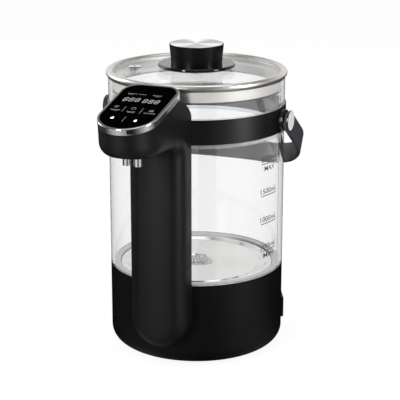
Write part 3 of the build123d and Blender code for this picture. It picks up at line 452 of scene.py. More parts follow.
@dataclass(frozen=True)
class PaintedCap(Uneven):
    """Pale painted face on a round black cap, whose axis lies along X."""

    roughness: float = 0.3
    side: Color = (0.003, 0.003, 0.0034)
    FACE_RANGE = (0.8, 0.9)

    def build(self) -> Material:
        """Build the material.

        Returns:
            The material.
        """
        material, tree, shader = self.start()
        grain = self.effect(tree, Effects.grain(), {"Size": 2600.0, "Spread": 80.0})
        normal = shader_node(tree, "ShaderNodeTexCoord").outputs["Normal"]
        along = shader_node(tree, "ShaderNodeSeparateXYZ", {"Vector": normal}).outputs["X"]
        turned = ramp(tree, maths(tree, "ABSOLUTE", along), *self.FACE_RANGE, 1.0, 0.0)
        wire(tree, shader, {
            "Roughness": self.sheen(tree, grain.outputs["Sheen"]),
            "Base Color": self.tinted(tree, turned, self.side)})
        return material


@dataclass(frozen=True)
class Metal(Uneven):
    """Polished, satin or turned metal."""

    roughness: float = 0.2
    depth: float = 0.004
    density: float = 5000.0
    anisotropy: float = 0.0
    # Stain colour, and also the colour of the painted shade between the bright fan sectors of a
    # turned face.
    stain_and_fan_shade: Color = (0.45, 0.44, 0.43)
    stain_share: float = 0.25
    # Share of painted shade between the bright fan sectors: a painted reflection, not a stain.
    painted_fan_share: float = 0.0
    fan_turn: float = 112.0
    FAN_COUNT = 3.0
    FAN_RANGE = (-0.6, 0.95)
    STAIN_RANGE = (0.4, 0.75)

    def painted_sunburst(self, tree: Tree) -> Socket:
        """Find the dim sectors between each bright fan of a turned face, where shade is painted
        into the colour: a painted reflection that stays put when the view moves.

        Args:
            tree: the material's tree.

        Returns:
            A socket that is 0 in a fan and the share of painted shade between two of them.
        """
        place = shader_node(tree, "ShaderNodeTexCoord").outputs["Object"]
        parts = shader_node(tree, "ShaderNodeSeparateXYZ", {"Vector": place})
        angle = maths(tree, "ARCTAN2", parts.outputs["Y"], parts.outputs["X"])
        turned = maths(tree, "SUBTRACT", angle, math.radians(self.fan_turn))
        swing = maths(tree, "COSINE", maths(tree, "MULTIPLY", turned, self.FAN_COUNT))
        return ramp(tree, swing, *self.FAN_RANGE, self.painted_fan_share, 0.0)

    def build(self) -> Material:
        """Build the material.

        Returns:
            The material.
        """
        material, tree, shader = self.start()
        lines = self.effect(tree, Effects.brushing(), {"Density": self.density, "Spread": 35.0})
        stain_and_fan_shade_mask = ramp(tree, lines.outputs["Streak"], *self.STAIN_RANGE, 0.0, self.stain_share)
        # Painted shade between the bright fan sectors of a turned face: a painted reflection in
        # the colour, added to the real stain patches.
        if self.painted_fan_share:
            stain_and_fan_shade_mask = maths(tree, "MAXIMUM", stain_and_fan_shade_mask, self.painted_sunburst(tree))
        bump = self.relief(tree, lines.outputs["Height"], 0.3)
        wire(tree, shader, {
            "Roughness": self.sheen(tree, lines.outputs["Height"]),
            "Base Color": self.tinted(tree, stain_and_fan_shade_mask, self.stain_and_fan_shade),
            "Normal": bump.outputs["Normal"], "Metallic": 1.0, "Anisotropic": self.anisotropy})
        if self.anisotropy:
            round_axis = shader_node(tree, "ShaderNodeTangent", direction_type="RADIAL", axis="Z")
            wire(tree, shader, {"Tangent": round_axis.outputs["Tangent"]})
        return material


@dataclass(frozen=True)
class ClearGlass(Finish):
    """Clear glass that lets lamps shine through it."""

    ior: float = 1.47
    edge: Color = (0.86, 0.93, 0.92)
    film: float = 0.015
    straight: float = 0.0
    FILM_RANGE = (0.5, 1.1)

    def build(self) -> Material:
        """Build the material.

        Returns:
            The material.
        """
        material, tree, shader = self.start()
        marks = self.effect(tree, Effects.handling(), {"Spread": 9.0})
        film = ramp(tree, marks.outputs["Marks"], *self.FILM_RANGE, 0.0, self.film)
        facing = shader_node(tree, "ShaderNodeLayerWeight", {"Blend": 0.25})
        tone = self.tinted(tree, facing.outputs["Facing"], self.edge)
        wire(tree, shader, {"Roughness": film, "Base Color": tone, "IOR": self.ior,
                            "Transmission Weight": 1.0})
        clear = shader_node(tree, "ShaderNodeBsdfTransparent")
        rays = shader_node(tree, "ShaderNodeLightPath").outputs
        either = maths(tree, "MAXIMUM", rays["Is Shadow Ray"], rays["Is Diffuse Ray"])
        self.blended(tree, ramp(tree, either, 0.0, 1.0, self.straight, 1.0), shader, clear)
        return material


@dataclass(frozen=True)
class Silicone(Uneven):
    """Soft silicone or rubber, clear or dark."""

    roughness: float = 0.5
    spread: float = 0.08
    clearness: float = 0.0
    ior: float = 1.41
    bloom: float = 0.4
    BLOOM_RANGE = (0.45, 0.8)
    BLOOM_GAIN = 1.3
    BLOOM_LIFT = 0.01

    def build(self) -> Material:
        """Build the material.

        Returns:
            The material.
        """
        material, tree, shader = self.start()
        grain = self.effect(tree, Effects.grain(), {"Size": 2200.0, "Spread": 60.0})
        bloom = ramp(tree, grain.outputs["Sheen"], *self.BLOOM_RANGE, 0.0, self.bloom)
        paler = tuple(min(1.0, self.BLOOM_GAIN * c + self.BLOOM_LIFT) for c in self.color)
        bump = self.relief(tree, grain.outputs["Height"], 0.2)
        wire(tree, shader, {
            "Roughness": self.sheen(tree, grain.outputs["Sheen"]),
            "Base Color": self.tinted(tree, bloom, paler), "Normal": bump.outputs["Normal"],
            "IOR": self.ior, "Transmission Weight": self.clearness})
        return material


@dataclass(frozen=True)
class Print(Finish):
    """Printed ink or a lit mark, with a slightly uneven cover."""

    glow: float = 0.0
    uneven: float = 0.3
    THIN_RANGE = (0.35, 0.65)
    THIN_TONE = 0.6

    def build(self) -> Material:
        """Build the material.

        Returns:
            The material.
        """
        material, tree, shader = self.start()
        grain = self.effect(tree, Effects.grain(), {"Size": 1500.0, "Spread": 400.0})
        thin = ramp(tree, grain.outputs["Sheen"], *self.THIN_RANGE, 0.0, self.uneven)
        tone = self.tinted(tree, thin, tuple(self.THIN_TONE * c for c in self.color))
        wire(tree, shader, {"Base Color": tone, "Roughness": 0.45})
        if self.glow:
            wire(tree, shader, {"Emission Color": tone, "Emission Strength": self.glow})
        return material


@dataclass(frozen=True)
class Circuit(Uneven):
    """Circuit board with tracks and pads under its lacquer."""

    roughness: float = 0.3
    depth: float = 0.03
    track: Color = (0.10, 0.32, 0.14)
    track_share: float = 0.55
    TRACK_RANGE = (0.3, 0.7)

    def build(self) -> Material:
        """Build the material.

        Returns:
            The material.
        """
        material, tree, shader = self.start()
        place = shader_node(tree, "ShaderNodeTexCoord").outputs["Object"]
        tracks = shader_node(tree, "ShaderNodeTexBrick", {
            "Vector": place, "Scale": 160.0, "Mortar Size": 0.06})
        copper = ramp(tree, tracks.outputs["Fac"], *self.TRACK_RANGE, 0.0, self.track_share)
        bump = self.relief(tree, tracks.outputs["Fac"], 0.3)
        wire(tree, shader, {"Base Color": self.tinted(tree, copper, self.track),
                            "Normal": bump.outputs["Normal"], "Roughness": self.roughness})
        return material


class Finishes:
    """Every finish of the pot, built the first time a piece asks for it."""

    CATALOGUE: tuple[Finish, ...] = (
        Moulded("base_black", (0.0016, 0.0016, 0.0016), roughness=0.4, specular=0.13,
                worn=(0.01, 0.01, 0.01), quiet_edge=0.9),
        Moulded("column_black", (0.0026, 0.0026, 0.0027), roughness=0.42, specular=0.2,
                worn=(0.012, 0.012, 0.012), crown=0.06, quiet_edge=0.6),
        Moulded("cover_black", (0.0026, 0.0026, 0.0027), roughness=0.36, specular=0.1,
                worn=(0.012, 0.012, 0.012)),
        Moulded("inner_black", (0.05, 0.05, 0.052), roughness=0.55),
        Moulded("pale_plastic", (0.72, 0.72, 0.69), roughness=0.45, worn=(0.6, 0.59, 0.55)),
        Moulded("handle_black", (0.022, 0.023, 0.026), roughness=0.38, specular=0.3,
                quiet_edge=0.4),
        Moulded("band_black", (0.0022, 0.0022, 0.0025), roughness=0.34, specular=0.3,
                worn=(0.012, 0.012, 0.012), quiet_edge=0.6),
        Moulded("hub_black", (0.003, 0.003, 0.0034), roughness=0.32, specular=0.25, depth=0.004),
        Moulded("knob_black", (0.002, 0.002, 0.002), roughness=0.3, specular=0.15,
                worn=(0.01, 0.01, 0.01), quiet_edge=0.95),
        Moulded("flange_black", (0.002, 0.002, 0.002), roughness=0.07, spread=0.02, specular=0.4,
                depth=0.002, worn=(0.01, 0.01, 0.01)),
        Moulded("panel_black", (0.0006, 0.0006, 0.0006), roughness=0.05, spread=0.02,
                specular=0.0, depth=0.001, worn=(0.001, 0.001, 0.001)),
        Moulded("window_black", (0.002, 0.002, 0.002), roughness=0.1, spread=0.02, depth=0.001,
                worn=(0.004, 0.004, 0.004)),
        Moulded("component_grey", (0.09, 0.09, 0.1), roughness=0.4),
        Moulded("digit_white", (0.75, 0.75, 0.74), roughness=0.35, worn=(0.5, 0.5, 0.5)),
        Metal("polished_steel", (0.74, 0.73, 0.72), roughness=0.14, spread=0.04),
        Metal("floor_steel", (0.78, 0.77, 0.76), roughness=0.1, spread=0.04, stain_share=0.2),
        Metal("sieve_steel", (0.55, 0.55, 0.55), roughness=0.16, spread=0.04),
        Metal("rim_steel", (0.7, 0.68, 0.645), roughness=0.33, spread=0.03),
        Metal("ring_chrome", (0.6, 0.6, 0.61), roughness=0.15, spread=0.04),
        PaintedCap("cap_silver", (0.4, 0.41, 0.415)),
        # Painted reflection: the colour darkens to the stain tone between three bright fan
        # sectors, besides real stain patches.
        Metal("turned_aluminium", (0.98, 0.98, 0.99), roughness=0.27, spread=0.04,
              density=14000.0, anisotropy=0.6, stain_and_fan_shade=(0.42, 0.43, 0.45), painted_fan_share=0.95),
        Metal("cast_aluminium", (0.66, 0.66, 0.67), roughness=0.42, density=900.0),
        Metal("heated_steel", (0.3, 0.28, 0.27), roughness=0.4, stain_and_fan_shade=(0.16, 0.14, 0.2),
              stain_share=0.7),
        Metal("zinc", (0.55, 0.55, 0.54), roughness=0.35),
        Metal("turned_brass", (0.72, 0.53, 0.24), roughness=0.3, stain_and_fan_shade=(0.5, 0.36, 0.15)),
        ClearGlass("jar_glass", (0.955, 0.957, 0.957), edge=(0.95, 0.96, 0.96)),
        ClearGlass("lid_glass", (0.985, 0.99, 0.988), edge=(0.8, 0.82, 0.81), straight=0.7),
        Silicone("clear_silicone", (0.74, 0.76, 0.8), roughness=0.14, clearness=0.92),
        Silicone("milky_hose", (0.8, 0.81, 0.8), roughness=0.35, clearness=0.35),
        Silicone("dark_silicone", (0.03, 0.03, 0.032), roughness=0.5),
        Silicone("foot_rubber", (0.02, 0.02, 0.02), roughness=0.7),
        Silicone("seat_silicone", (0.3, 0.3, 0.3), roughness=0.4),
        Print("mark_ink", (0.025, 0.025, 0.025), uneven=0.5),
        Print("panel_print", (0.2, 0.2, 0.2), glow=0.08),
        Print("digit_print", (0.46, 0.46, 0.44), glow=0.22),
        Print("lit_icon", (1.0, 1.0, 1.0), glow=0.9, uneven=0.05),
        Circuit("circuit_green", (0.02, 0.12, 0.05)),
    )

    def __init__(self) -> None:
        """Index the finishes by name."""
        self._by_name = {finish.name: finish for finish in self.CATALOGUE}
        self._built: dict[str, Material] = {}

    def __call__(self, name: str) -> Material:
        """Return a finish's material.

        Args:
            name: the finish's name.

        Returns:
            The material, built once.
        """
        if name not in self._built:
            self._built[name] = self._by_name[name].build()
        return self._built[name]


@dataclass
class SubAssembly:
    """A group of pieces that belong together; its new pieces ride on one body."""

    finishes: Finishes
    body: str = "base"
    # The finish of each solid piece of the frame that belongs to the group.
    DRESSED = {}

    def dress(self, finish: str, *nodes: str) -> None:
        """Give solid pieces of the frame their finish.

        Args:
            finish: the finish's name.
            nodes: the pieces' names.
        """
        for node in nodes:
            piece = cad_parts[node]
            piece.data.materials.clear()
            piece.data.materials.append(self.finishes(finish))
            log.info("%s: %s", node, finish)

    def add(self, piece: Piece, finish: str, slot: str) -> None:
        """Finish a new piece and let it ride on this group's body.

        Args:
            piece: the new mesh, in place.
            finish: the finish's name.
            slot: the record's material slot; not used.
        """
        piece.data.materials.clear()
        piece.data.materials.append(self.finishes(finish))
        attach(piece, self.body)
        log.info("%s: %s", piece.name, finish)

    def build(self) -> None:
        """Dress the group. A group with new pieces builds them as well."""
        for finish, nodes in self.DRESSED.items():
            self.dress(finish, *nodes)


@dataclass
class Base(SubAssembly):
    """Black base with its floor plate, feet, screws, heater and the jar's seat."""

    DRESSED = {
        "base_black": ["base_housing"],
        "inner_black": ["bottom_plate", "drain_fitting"],
        "cover_black": ["power_inlet"],
        "foot_rubber": ["rubber_feet"],
        "zinc": ["bottom_screws"],
        "seat_silicone": ["jar_seat"],
        "floor_steel": ["heating_plate"],
        "sieve_steel": ["strainer"],
        "cast_aluminium": ["heat_spreader"],
        "heated_steel": ["heating_element"],
        "component_grey": ["thermal_cutouts"],
        "turned_brass": ["temperature_sensor", "inlet_pins"],
    }


@dataclass
class WaterPath(SubAssembly):
    """Pump, hoses and spouts."""

    DRESSED = {
        "milky_hose": ["suction_hose", "riser_hose"],
        "pale_plastic": ["pump_housing", "pump_impeller", "spout_block"],
        "cast_aluminium": ["pump_motor"],
        "inner_black": ["pump_cradle"],
        "polished_steel": ["spout_left", "spout_right"],
    }


@dataclass
class Electrics(SubAssembly):
    """Boards, their components and the cable between them."""

    DRESSED = {
        "circuit_green": ["power_board", "display_board"],
        "inner_black": ["board_standoffs", "display_cable"],
        "component_grey": ["board_components"],
        "digit_white": ["digit_modules"],
        "turned_brass": ["touch_springs"],
    }


class MarkSide(Enum):
    """Where a word stands next to its line."""

    ABOVE = 1
    BELOW = -1


@dataclass
class Jar(SubAssembly):
    """Glass wall with its printed volume marks."""

    radius: float = 81.0 * MM
    ink: float = 0.07 * MM
    facing: float = 76.2
    line_length: float = 24.0 * MM
    line_width: float = 0.75 * MM
    word_height: float = 4.9 * MM
    word_gap: float = 1.9 * MM
    number_width: float = 25.5 * MM
    limit_width: float = 16.0 * MM
    boldness: float = 0.03 * MM
    steps: int = 24
    DRESSED = {"jar_glass": ["glass_jar"]}
    VOLUMES = ((500, 102.4 * MM), (1000, 128.3 * MM), (1500, 154.6 * MM), (2000, 184.4 * MM))
    LIMITS = (("MIN", 102.4 * MM), ("MAX", 184.4 * MM))
    CAPITAL_SHARE = 0.73

    def build(self) -> None:
        """Dress the wall and print the marks."""
        super().build()
        marks = []
        for volume, height in self.VOLUMES:
            marks.append(self.line(height))
            marks.append(self.word(f"{volume}mL", height, MarkSide.ABOVE, self.number_width))
        for limit, height in self.LIMITS:
            marks.append(self.word(limit, height, MarkSide.BELOW, self.limit_width))
        self.add(join_pieces(marks, "volume_marks"), "mark_ink", "base_plastic")

    def wrap(self, piece: Piece) -> Piece:
        """Wrap a flat piece, drawn in X and Z, round the wall.

        Args:
            piece: a mesh with X along the wall and Y as its height above it.

        Returns:
            The same object.
        """
        middle = math.radians(self.facing)

        def bend(point: Vector) -> Vector:
            """Move a point from the flat sheet to the wall."""
            angle, reach = middle + point.x / self.radius, self.radius + point.y
            return Vector((math.sin(angle) * reach, -math.cos(angle) * reach, point.z))
        return reshape(piece, bend)

    def line(self, height: float) -> Piece:
        """Print one line.

        Args:
            height: its height in metres.

        Returns:
            The line's mesh.
        """
        clear_selection()
        bpy.ops.mesh.primitive_grid_add(x_subdivisions=self.steps, y_subdivisions=1, size=1.0,
                                        rotation=(math.radians(90), 0, 0))
        piece = bpy.context.object
        piece.scale = (self.line_length, self.line_width, 1.0)
        fix_place(piece)
        reshape(piece, lambda p: p + Vector((0, self.ink, height)))
        return self.wrap(piece)

    def word(self, text: str, height: float, side: MarkSide, width: float) -> Piece:
        """Print one word next to its line.

        Args:
            text: what it says.
            height: the line's height in metres.
            side: above or below the line.
            width: the word's length in metres.

        Returns:
            The word's mesh.
        """
        clear_selection()
        bpy.ops.object.text_add()
        label = bpy.context.object
        label.data.body = text
        label.data.size = self.word_height / self.CAPITAL_SHARE
        label.data.align_x = "CENTER"
        label.data.offset = self.boldness
        label.rotation_euler = (math.radians(90), 0, 0)
        bpy.ops.object.convert(target="MESH")
        piece = fix_place(bpy.context.object)
        lift = self.word_gap if side is MarkSide.ABOVE else -self.word_gap - self.word_height
        ends = [vertex.co.x for vertex in piece.data.vertices]
        middle = (min(ends) + max(ends)) / 2
        stretch = width / (max(ends) - min(ends))
        reshape(piece, lambda p: Vector(((p.x - middle) * stretch, self.ink,
                                         p.z + height + lift)))
        return self.wrap(piece)


@dataclass
class CollarAndBail(SubAssembly):
    """Band round the jar with its hubs, and the bail that swings on them."""

    DRESSED = {
        "clear_silicone": ["collar_liner"],
        "band_black": ["collar_band"],
        "hub_black": ["pivot_boss_left", "pivot_boss_right"],
        "cap_silver": ["pivot_cap_left", "pivot_cap_right"],
        "handle_black": ["bail_handle"],
    }


@dataclass
class Lid(SubAssembly):
    """Glass lid with its steel rim, vent and knob."""

    body: str = "lid"
    DRESSED = {
        "rim_steel": ["lid_rim"],
        "polished_steel": ["steam_vent"],
        "dark_silicone": ["lid_seal", "knob_gasket"],
        "lid_glass": ["lid_glass"],
        "flange_black": ["knob_flange"],
        "knob_black": ["knob_body"],
        "turned_aluminium": ["knob_disc"],
        "zinc": ["knob_screw"],
    }


@dataclass
class Column(SubAssembly):
    """Column with the overhanging head."""

    DRESSED = {
        "column_black": ["column_shell"],
        "cover_black": ["rear_cover"],
        "zinc": ["column_screws"],
        "ring_chrome": ["trim_ring"],
        "window_black": ["sensor_window"],
    }


# The seven bars of a digit: the centre as shares of its width and height, and whether it lies.
DIGIT_BARS = (
    (0.0, 0.46, True), (0.0, 0.0, True), (0.0, -0.46, True),
    (-0.44, 0.23, False), (0.44, 0.23, False), (-0.44, -0.23, False), (0.44, -0.23, False),
)
# Rows of dashes on the panel: centre across and along, length, height and count of dashes.
TOP_CAPTIONS = (
    (-13.4, -16.6, 8.6, 0.9, 5), (-4.0, -16.9, 7.0, 0.7, 4), (-14.4, -18.3, 4.4, 0.7, 3),
    (9.7, -17.0, 8.4, 0.9, 5), (10.4, -18.6, 4.2, 0.7, 3),
)
FIELD_CAPTIONS = (
    (-15.9, -47.4, 9.4, 0.95, 5), (-0.9, -48.9, 7.6, 0.95, 5), (15.9, -49.3, 10.6, 0.95, 5),
    (-15.2, -49.0, 4.6, 0.7, 3), (-0.6, -50.5, 5.6, 0.7, 3),
)
# Upright lines between the fields: centre across and along, and length.
DIVIDERS = ((-8.8, -45.0, 9.6), (7.3, -46.0, 9.8), (-1.1, -63.1, 9.2))
# The clock, the jug and the steam signs in their fields, and the lit padlock. A hoop is given by
# its centre, radius and line, and a bar by its centre, length, width and turn in degrees.
SIGN_HOOPS = ((-17.0, -42.0, 1.7, 0.32), (-0.9, -42.9, 2.0, 0.38))
SIGN_BARS = (
    (-17.0, -41.4, 0.32, 1.1, 0.0), (-16.5, -42.0, 1.0, 0.32, 0.0),
    (-15.3, -40.2, 1.0, 0.32, 45.0), (-0.9, -41.2, 0.36, 1.5, 0.0),
    (14.5, -44.42, 0.55, 2.6, -8.0), (15.9, -44.0, 0.55, 2.6, -8.0),
    (17.3, -44.42, 0.55, 2.6, -8.0), (15.9, -45.9, 4.2, 0.5, 0.0),
)
LOCK_BODY = (-12.0, -62.4, 2.9, 1.8)
LOCK_SHACKLE = (-12.0, -61.1, 1.05, 0.4)


@dataclass
class TouchPanel(SubAssembly):
    """Black glass panel with its printed and lit signs, drawn in millimetres."""

    rear: float = 95.3
    rear_height: float = 262.4
    slope: float = 14.42
    face: float = -0.15
    ink: float = 0.04
    digit_width: float = 3.4
    digit_height: float = 6.6
    bar: float = 0.46
    lying_share: float = 0.76
    standing_share: float = 0.38
    pitch: float = 5.4
    slant: float = 0.12
    divider_width: float = 0.32
    drop_place: tuple[float, float] = (9.6, -64.2)
    drop_radius: float = 1.3
    drop_taper: float = 0.75
    drop_stretch: float = 1.1
    DRESSED = {"panel_black": ["touch_panel"]}
    DIGIT_GROUPS = ((-14.9, -27.6), (3.2, -28.4))
    GROUP_LENGTH = 3
    DASH_SHARES = (0.82, 0.6, 0.74, 0.66)
    CORNER_SHARE = 0.35

    def build(self) -> None:
        """Dress the panel and print its signs."""
        super().build()
        self.add(join_pieces(self.digits(), "panel_digits"), "digit_print", "display")
        self.add(join_pieces(self.prints(), "panel_prints"), "panel_print", "display")
        self.add(join_pieces(self.lit_signs(), "panel_lit_signs"), "lit_icon", "display")

    def to_panel(self, piece: Piece) -> Piece:
        """Lay a flat piece, drawn in millimetres in X and Y, on the panel.

        Args:
            piece: the flat mesh.

        Returns:
            The same object.
        """
        turn = Matrix.Rotation(math.radians(self.slope), 4, "X")
        start = Vector((0, -self.rear, self.rear_height))

        def lay(point: Vector) -> Vector:
            """Move a point to the panel's face."""
            flat = Vector((point.x, point.y, self.face + self.ink))
            return (turn @ flat + start) * MM
        return reshape(piece, lay)

    def strip(self, x: float, y: float, width: float, height: float, turn: float = 0.0) -> Piece:
        """Print a bar with cut corners.

        Args:
            x: its centre across the panel, in millimetres.
            y: its centre along the panel.
            width: its length.
            height: its width.
            turn: its turn in degrees.

        Returns:
            The bar's mesh.
        """
        clear_selection()
        bpy.ops.mesh.primitive_plane_add(size=1.0)
        piece = bpy.context.object
        piece.scale = (width, height, 1.0)
        fix_place(piece)
        bpy.ops.object.mode_set(mode="EDIT")
        bpy.ops.mesh.select_all(action="SELECT")
        bpy.ops.mesh.bevel(offset=self.CORNER_SHARE * min(width, height), segments=2,
                           affect="VERTICES")
        leave_edit()
        piece.rotation_euler = (0, 0, math.radians(turn))
        piece.location = (x, y, 0)
        fix_place(piece)
        return self.to_panel(piece)

    def hoop(self, x: float, y: float, radius: float, width: float, sides: int = 28) -> Piece:
        """Print an open circle.

        Args:
            x: its centre across the panel, in millimetres.
            y: its centre along the panel.
            radius: its outer radius.
            width: the width of its line.
            sides: its number of sides.

        Returns:
            The circle's mesh.
        """
        clear_selection()
        bpy.ops.mesh.primitive_circle_add(vertices=sides, radius=radius, fill_type="NGON",
                                          location=(x, y, 0))
        piece = fix_place(bpy.context.object)
        bpy.ops.object.mode_set(mode="EDIT")
        bpy.ops.mesh.select_all(action="SELECT")
        bpy.ops.mesh.inset(thickness=width)
        bpy.ops.mesh.delete(type="FACE")
        leave_edit()
        return self.to_panel(piece)

    def digits(self) -> list[Piece]:
        """Print two groups of three seven-bar digits.

        Returns:
            The bars' meshes.
        """
        bars = []
        lying = self.digit_width * self.lying_share
        standing = self.digit_height * self.standing_share
        upright = 90.0 - math.degrees(self.slant)
        for first, row in self.DIGIT_GROUPS:
            for i in range(self.GROUP_LENGTH):
                middle = first + i * self.pitch
                for across, along, lies in DIGIT_BARS:
                    x = middle + across * self.digit_width
                    x += self.slant * along * self.digit_height
                    y = row + along * self.digit_height
                    length, turn = (lying, 0.0) if lies else (standing, upright)
                    bars.append(self.strip(x, y, length, self.bar, turn))
        return bars

    def dashes(self, x: float, y: float, length: float, height: float, count: int) -> list[Piece]:
        """Print a row of short dashes that stands where a caption would be.

        Args:
            x: the row's centre across the panel.
            y: the row's centre along the panel.
            length: the row's length.
            height: the dashes' height.
            count: how many there are.

        Returns:
            The dashes' meshes.
        """
        step = length / count
        shares = self.DASH_SHARES
        return [self.strip(x - length / 2 + (i + 0.5) * step, y,
                           step * shares[i % len(shares)], height) for i in range(count)]

    def prints(self) -> list[Piece]:
        """Print the dim signs: captions, dividers and three round or wavy signs.

        Returns:
            The signs' meshes.
        """
        signs = []
        for caption in TOP_CAPTIONS + FIELD_CAPTIONS:
            signs += self.dashes(*caption)
        signs += [self.strip(x, y, length, self.divider_width, 90.0) for x, y, length in DIVIDERS]
        signs += [self.hoop(*sign) for sign in SIGN_HOOPS]
        signs += [self.strip(*sign) for sign in SIGN_BARS]
        return signs

    def lit_signs(self) -> list[Piece]:
        """Print the two lit signs: a padlock and a drop.

        Returns:
            The signs' meshes.
        """
        x, y = self.drop_place
        clear_selection()
        bpy.ops.mesh.primitive_circle_add(vertices=32, radius=self.drop_radius,
                                          fill_type="NGON", location=(x, y, 0))

        def pointed(point: Vector) -> Vector:
            """Draw the upper half of a disc out to a drop's tip.

            Args:
                point: a point of the disc.

            Returns:
                Its new place.
            """
            above = max(0.0, point.y - y)
            narrow = 1.0 - self.drop_taper * above / self.drop_radius
            return Vector((x + (point.x - x) * narrow, point.y + above * self.drop_stretch, 0))
        drop = reshape(fix_place(bpy.context.object), pointed)
        return [self.strip(*LOCK_BODY), self.hoop(*LOCK_SHACKLE), self.to_panel(drop)]


# ---------------------------------------------------------------- studio
@dataclass(frozen=True)
class Lamp:
    """A soft square or oblong lamp that looks at a point."""

    name: str
    place: Point
    target: Point
    size: tuple[float, float]
    power: float

    def build(self) -> Piece:
        """Place the lamp.

        Returns:
            The lamp object.
        """
        data = bpy.data.lights.new(self.name, "AREA")
        data.shape = "RECTANGLE"
        data.size, data.size_y = self.size
        data.energy = self.power
        lamp = bpy.data.objects.new(self.name, data)
        bpy.context.scene.collection.objects.link(lamp)
        lamp.location = self.place
        aim = Vector(self.target) - Vector(self.place)
        lamp.rotation_euler = aim.to_track_quat("-Z", "Y").to_euler()
        return lamp


LAMP_TARGET = (0.0, 0.0, 0.14)
LAMPS = (
    Lamp("lamp_front_left", (-0.32, -1.16, 0.55), LAMP_TARGET, (0.14, 0.7), 14.0),
    Lamp("lamp_left", (-1.35, 0.1, 0.7), LAMP_TARGET, (0.5, 1.2), 8.0),
    Lamp("lamp_right", (1.435, -0.2, 0.55), LAMP_TARGET, (0.3, 1.2), 19.0),
    Lamp("lamp_top", (0.0, 0.15, 1.6), LAMP_TARGET, (1.2, 0.9), 7.0),
)


def seen_directly(tree: Tree, rays: Node) -> Socket:
    """Tell the rays that look straight at a thing, or at it through glass.

    Args:
        tree: the node tree.
        rays: its Light Path node.

    Returns:
        A socket that is 1 for those rays.
    """
    return maths(tree, "MAXIMUM", rays.outputs["Is Camera Ray"],
                 rays.outputs["Is Transmission Ray"])


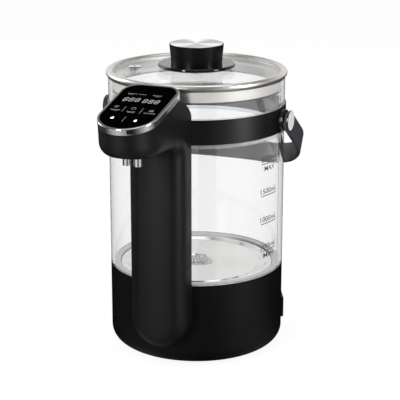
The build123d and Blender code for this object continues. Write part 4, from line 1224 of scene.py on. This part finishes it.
@dataclass
class Studio:
    """Camera, lamps, pale floor and white surroundings."""

    azimuth: float = 22.0
    pitch: float = 16.467
    camera_place: Point = (0.4692, -1.1613, 0.5053)
    lens: float = 125.05
    shift: float = 0.0085
    floor_size: float = 12.0
    floor_tone: float = 0.82
    white_share: float = 0.9
    dark_side: float = 0.88
    dark_above: float = 0.85
    sky_for_light: float = 0.9
    floor_sectors: tuple[tuple[float, float], ...] = ((-16.0, 42.0), (74.0, 42.0))
    floor_gloss: tuple[float, float] = (0.06, 1.0)
    floor_near: float = 0.4
    near_range: tuple[float, float] = (0.15, 0.6)
    side_lift: float = 0.25
    side_range: tuple[float, float] = (-0.6, 0.05)
    above_range: tuple[float, float] = (0.42, 0.62)
    UNLIT = ("glass_jar", "lid_glass", "steam_vent")

    def build(self) -> None:
        """Set up the studio."""
        self.camera()
        self.floor()
        self.sky()
        clear = bpy.data.collections.new("clear_pieces")
        for node in self.UNLIT:
            clear.objects.link(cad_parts[node])
        for item in clear.collection_objects:
            item.light_linking.link_state = "EXCLUDE"
        for lamp in LAMPS:
            lamp.build().light_linking.receiver_collection = clear
        bpy.context.scene.view_settings.view_transform = "Standard"
        log.info("studio: %d lamps", len(LAMPS))

    def camera(self) -> None:
        """Create the camera."""
        data = bpy.data.cameras.new("camera")
        data.lens = self.lens
        data.sensor_width = 36.0
        data.shift_x = self.shift
        camera = bpy.data.objects.new("camera", data)
        bpy.context.scene.collection.objects.link(camera)
        camera.location = self.camera_place
        camera.rotation_euler = (math.radians(90.0 - self.pitch), 0.0, math.radians(self.azimuth))
        bpy.context.scene.camera = camera

    def floor_level(self, tree: Tree, mirrored: Socket) -> Socket:
        """Give the floor two bright sectors and a dark rest, for reflections only.

        Args:
            tree: the floor's tree.
            mirrored: 1 for reflected rays.

        Returns:
            The level's socket.
        """
        place = shader_node(tree, "ShaderNodeNewGeometry").outputs["Position"]
        parts = shader_node(tree, "ShaderNodeSeparateXYZ", {"Vector": place})
        ahead = maths(tree, "MULTIPLY", parts.outputs["Y"], -1.0)
        angle = maths(tree, "ARCTAN2", parts.outputs["X"], ahead)
        sectors = []
        for middle, half in self.floor_sectors:
            away = maths(tree, "ABSOLUTE", maths(tree, "SUBTRACT", angle, math.radians(middle)))
            sectors.append(ramp(tree, away, 0.0, math.radians(half), 1.0, 0.0))
        tone = ramp(tree, maths(tree, "MAXIMUM", *sectors), 0.0, 1.0, *self.floor_gloss)
        reach = shader_node(tree, "ShaderNodeVectorMath", {0: place}, operation="LENGTH")
        near = ramp(tree, reach.outputs["Value"], *self.near_range, self.floor_near, 1.0)
        level = shader_node(tree, "ShaderNodeMix", {
            "Factor": mirrored, "A": 1.0, "B": maths(tree, "MULTIPLY", tone, near)})
        return level.outputs["Result"]

    def floor(self) -> None:
        """Lay the pale floor."""
        clear_selection()
        bpy.ops.mesh.primitive_plane_add(size=self.floor_size)
        floor = bpy.context.object
        floor.name = "floor"
        material = bpy.data.materials.new("floor_white")
        material.use_nodes = True
        tree = material.node_tree
        tree.nodes.clear()
        matt = shader_node(tree, "ShaderNodeBsdfDiffuse", {
            "Color": (self.floor_tone, self.floor_tone, self.floor_tone, 1.0)})
        rays = shader_node(tree, "ShaderNodeLightPath")
        seen = ramp(tree, seen_directly(tree, rays), 0.0, 1.0, 0.0, self.white_share)
        # A ray through clear glass counts as glossy too, so those are taken off.
        mirrored = maths(tree, "SUBTRACT", rays.outputs["Is Glossy Ray"],
                         rays.outputs["Is Transmission Ray"], clamp=True)
        white = shader_node(tree, "ShaderNodeEmission", {
            "Color": (1.0, 1.0, 1.0, 1.0), "Strength": self.floor_level(tree, mirrored)})
        mix = shader_node(tree, "ShaderNodeMixShader", {
            0: maths(tree, "MAXIMUM", seen, mirrored), 1: matt.outputs["BSDF"],
            2: white.outputs["Emission"]})
        shader_node(tree, "ShaderNodeOutputMaterial", {"Surface": mix.outputs["Shader"]})
        floor.data.materials.append(material)

    def gloss_level(self, tree: Tree, is_gloss: Socket) -> Socket:
        """Darken the camera's own side and the sky overhead, for reflections only.

        Args:
            tree: the world's tree.
            is_gloss: 1 for reflected rays.

        Returns:
            The level's socket.
        """
        turn = math.radians(self.azimuth)
        ahead = shader_node(tree, "ShaderNodeTexCoord").outputs["Generated"]
        to_camera = shader_node(tree, "ShaderNodeVectorMath", {
            0: ahead, 1: (math.sin(turn), -math.cos(turn), self.side_lift)},
            operation="DOT_PRODUCT")
        front = ramp(tree, to_camera.outputs["Value"], *self.side_range, 0.0, self.dark_side)
        height = shader_node(tree, "ShaderNodeSeparateXYZ", {"Vector": ahead}).outputs["Z"]
        above = ramp(tree, height, *self.above_range, 0.0, self.dark_above)
        shade = maths(tree, "MULTIPLY", maths(tree, "MAXIMUM", front, above), is_gloss)
        tone = ramp(tree, is_gloss, 0.0, 1.0, self.sky_for_light, 1.0)
        return maths(tree, "SUBTRACT", tone, shade)

    def sky(self) -> None:
        """Make the surroundings white to look at and softer as light."""
        world = bpy.data.worlds.new("surroundings")
        bpy.context.scene.world = world
        world.use_nodes = True
        tree = world.node_tree
        tree.nodes.clear()
        rays = shader_node(tree, "ShaderNodeLightPath")
        gloss = self.gloss_level(tree, rays.outputs["Is Glossy Ray"])
        level = shader_node(tree, "ShaderNodeMix", {
            "Factor": seen_directly(tree, rays), "A": gloss, "B": 1.0})
        back = shader_node(tree, "ShaderNodeBackground", {
            "Color": (1.0, 1.0, 1.0, 1.0), "Strength": level.outputs["Result"]})
        shader_node(tree, "ShaderNodeOutputWorld", {"Surface": back.outputs["Background"]})


def clear_start_scene() -> None:
    """Remove the cube, the lamp and the camera that a new file holds."""
    for name in ("Cube", "Light", "Camera"):
        start = bpy.data.objects.get(name)
        if start is not None:
            bpy.data.objects.remove(start)


def main() -> None:
    """Build every sub-assembly and the studio."""
    logging.basicConfig(level=logging.INFO, format="%(name)s %(message)s")
    clear_start_scene()
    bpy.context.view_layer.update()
    finishes = Finishes()
    groups: tuple[SubAssembly, ...] = (
        Base(finishes), WaterPath(finishes), Electrics(finishes), Jar(finishes),
        CollarAndBail(finishes), Lid(finishes), Column(finishes), TouchPanel(finishes),
    )
    Studio().build()
    for group in groups:
        group.build()


if __name__ == "__main__":
    main()
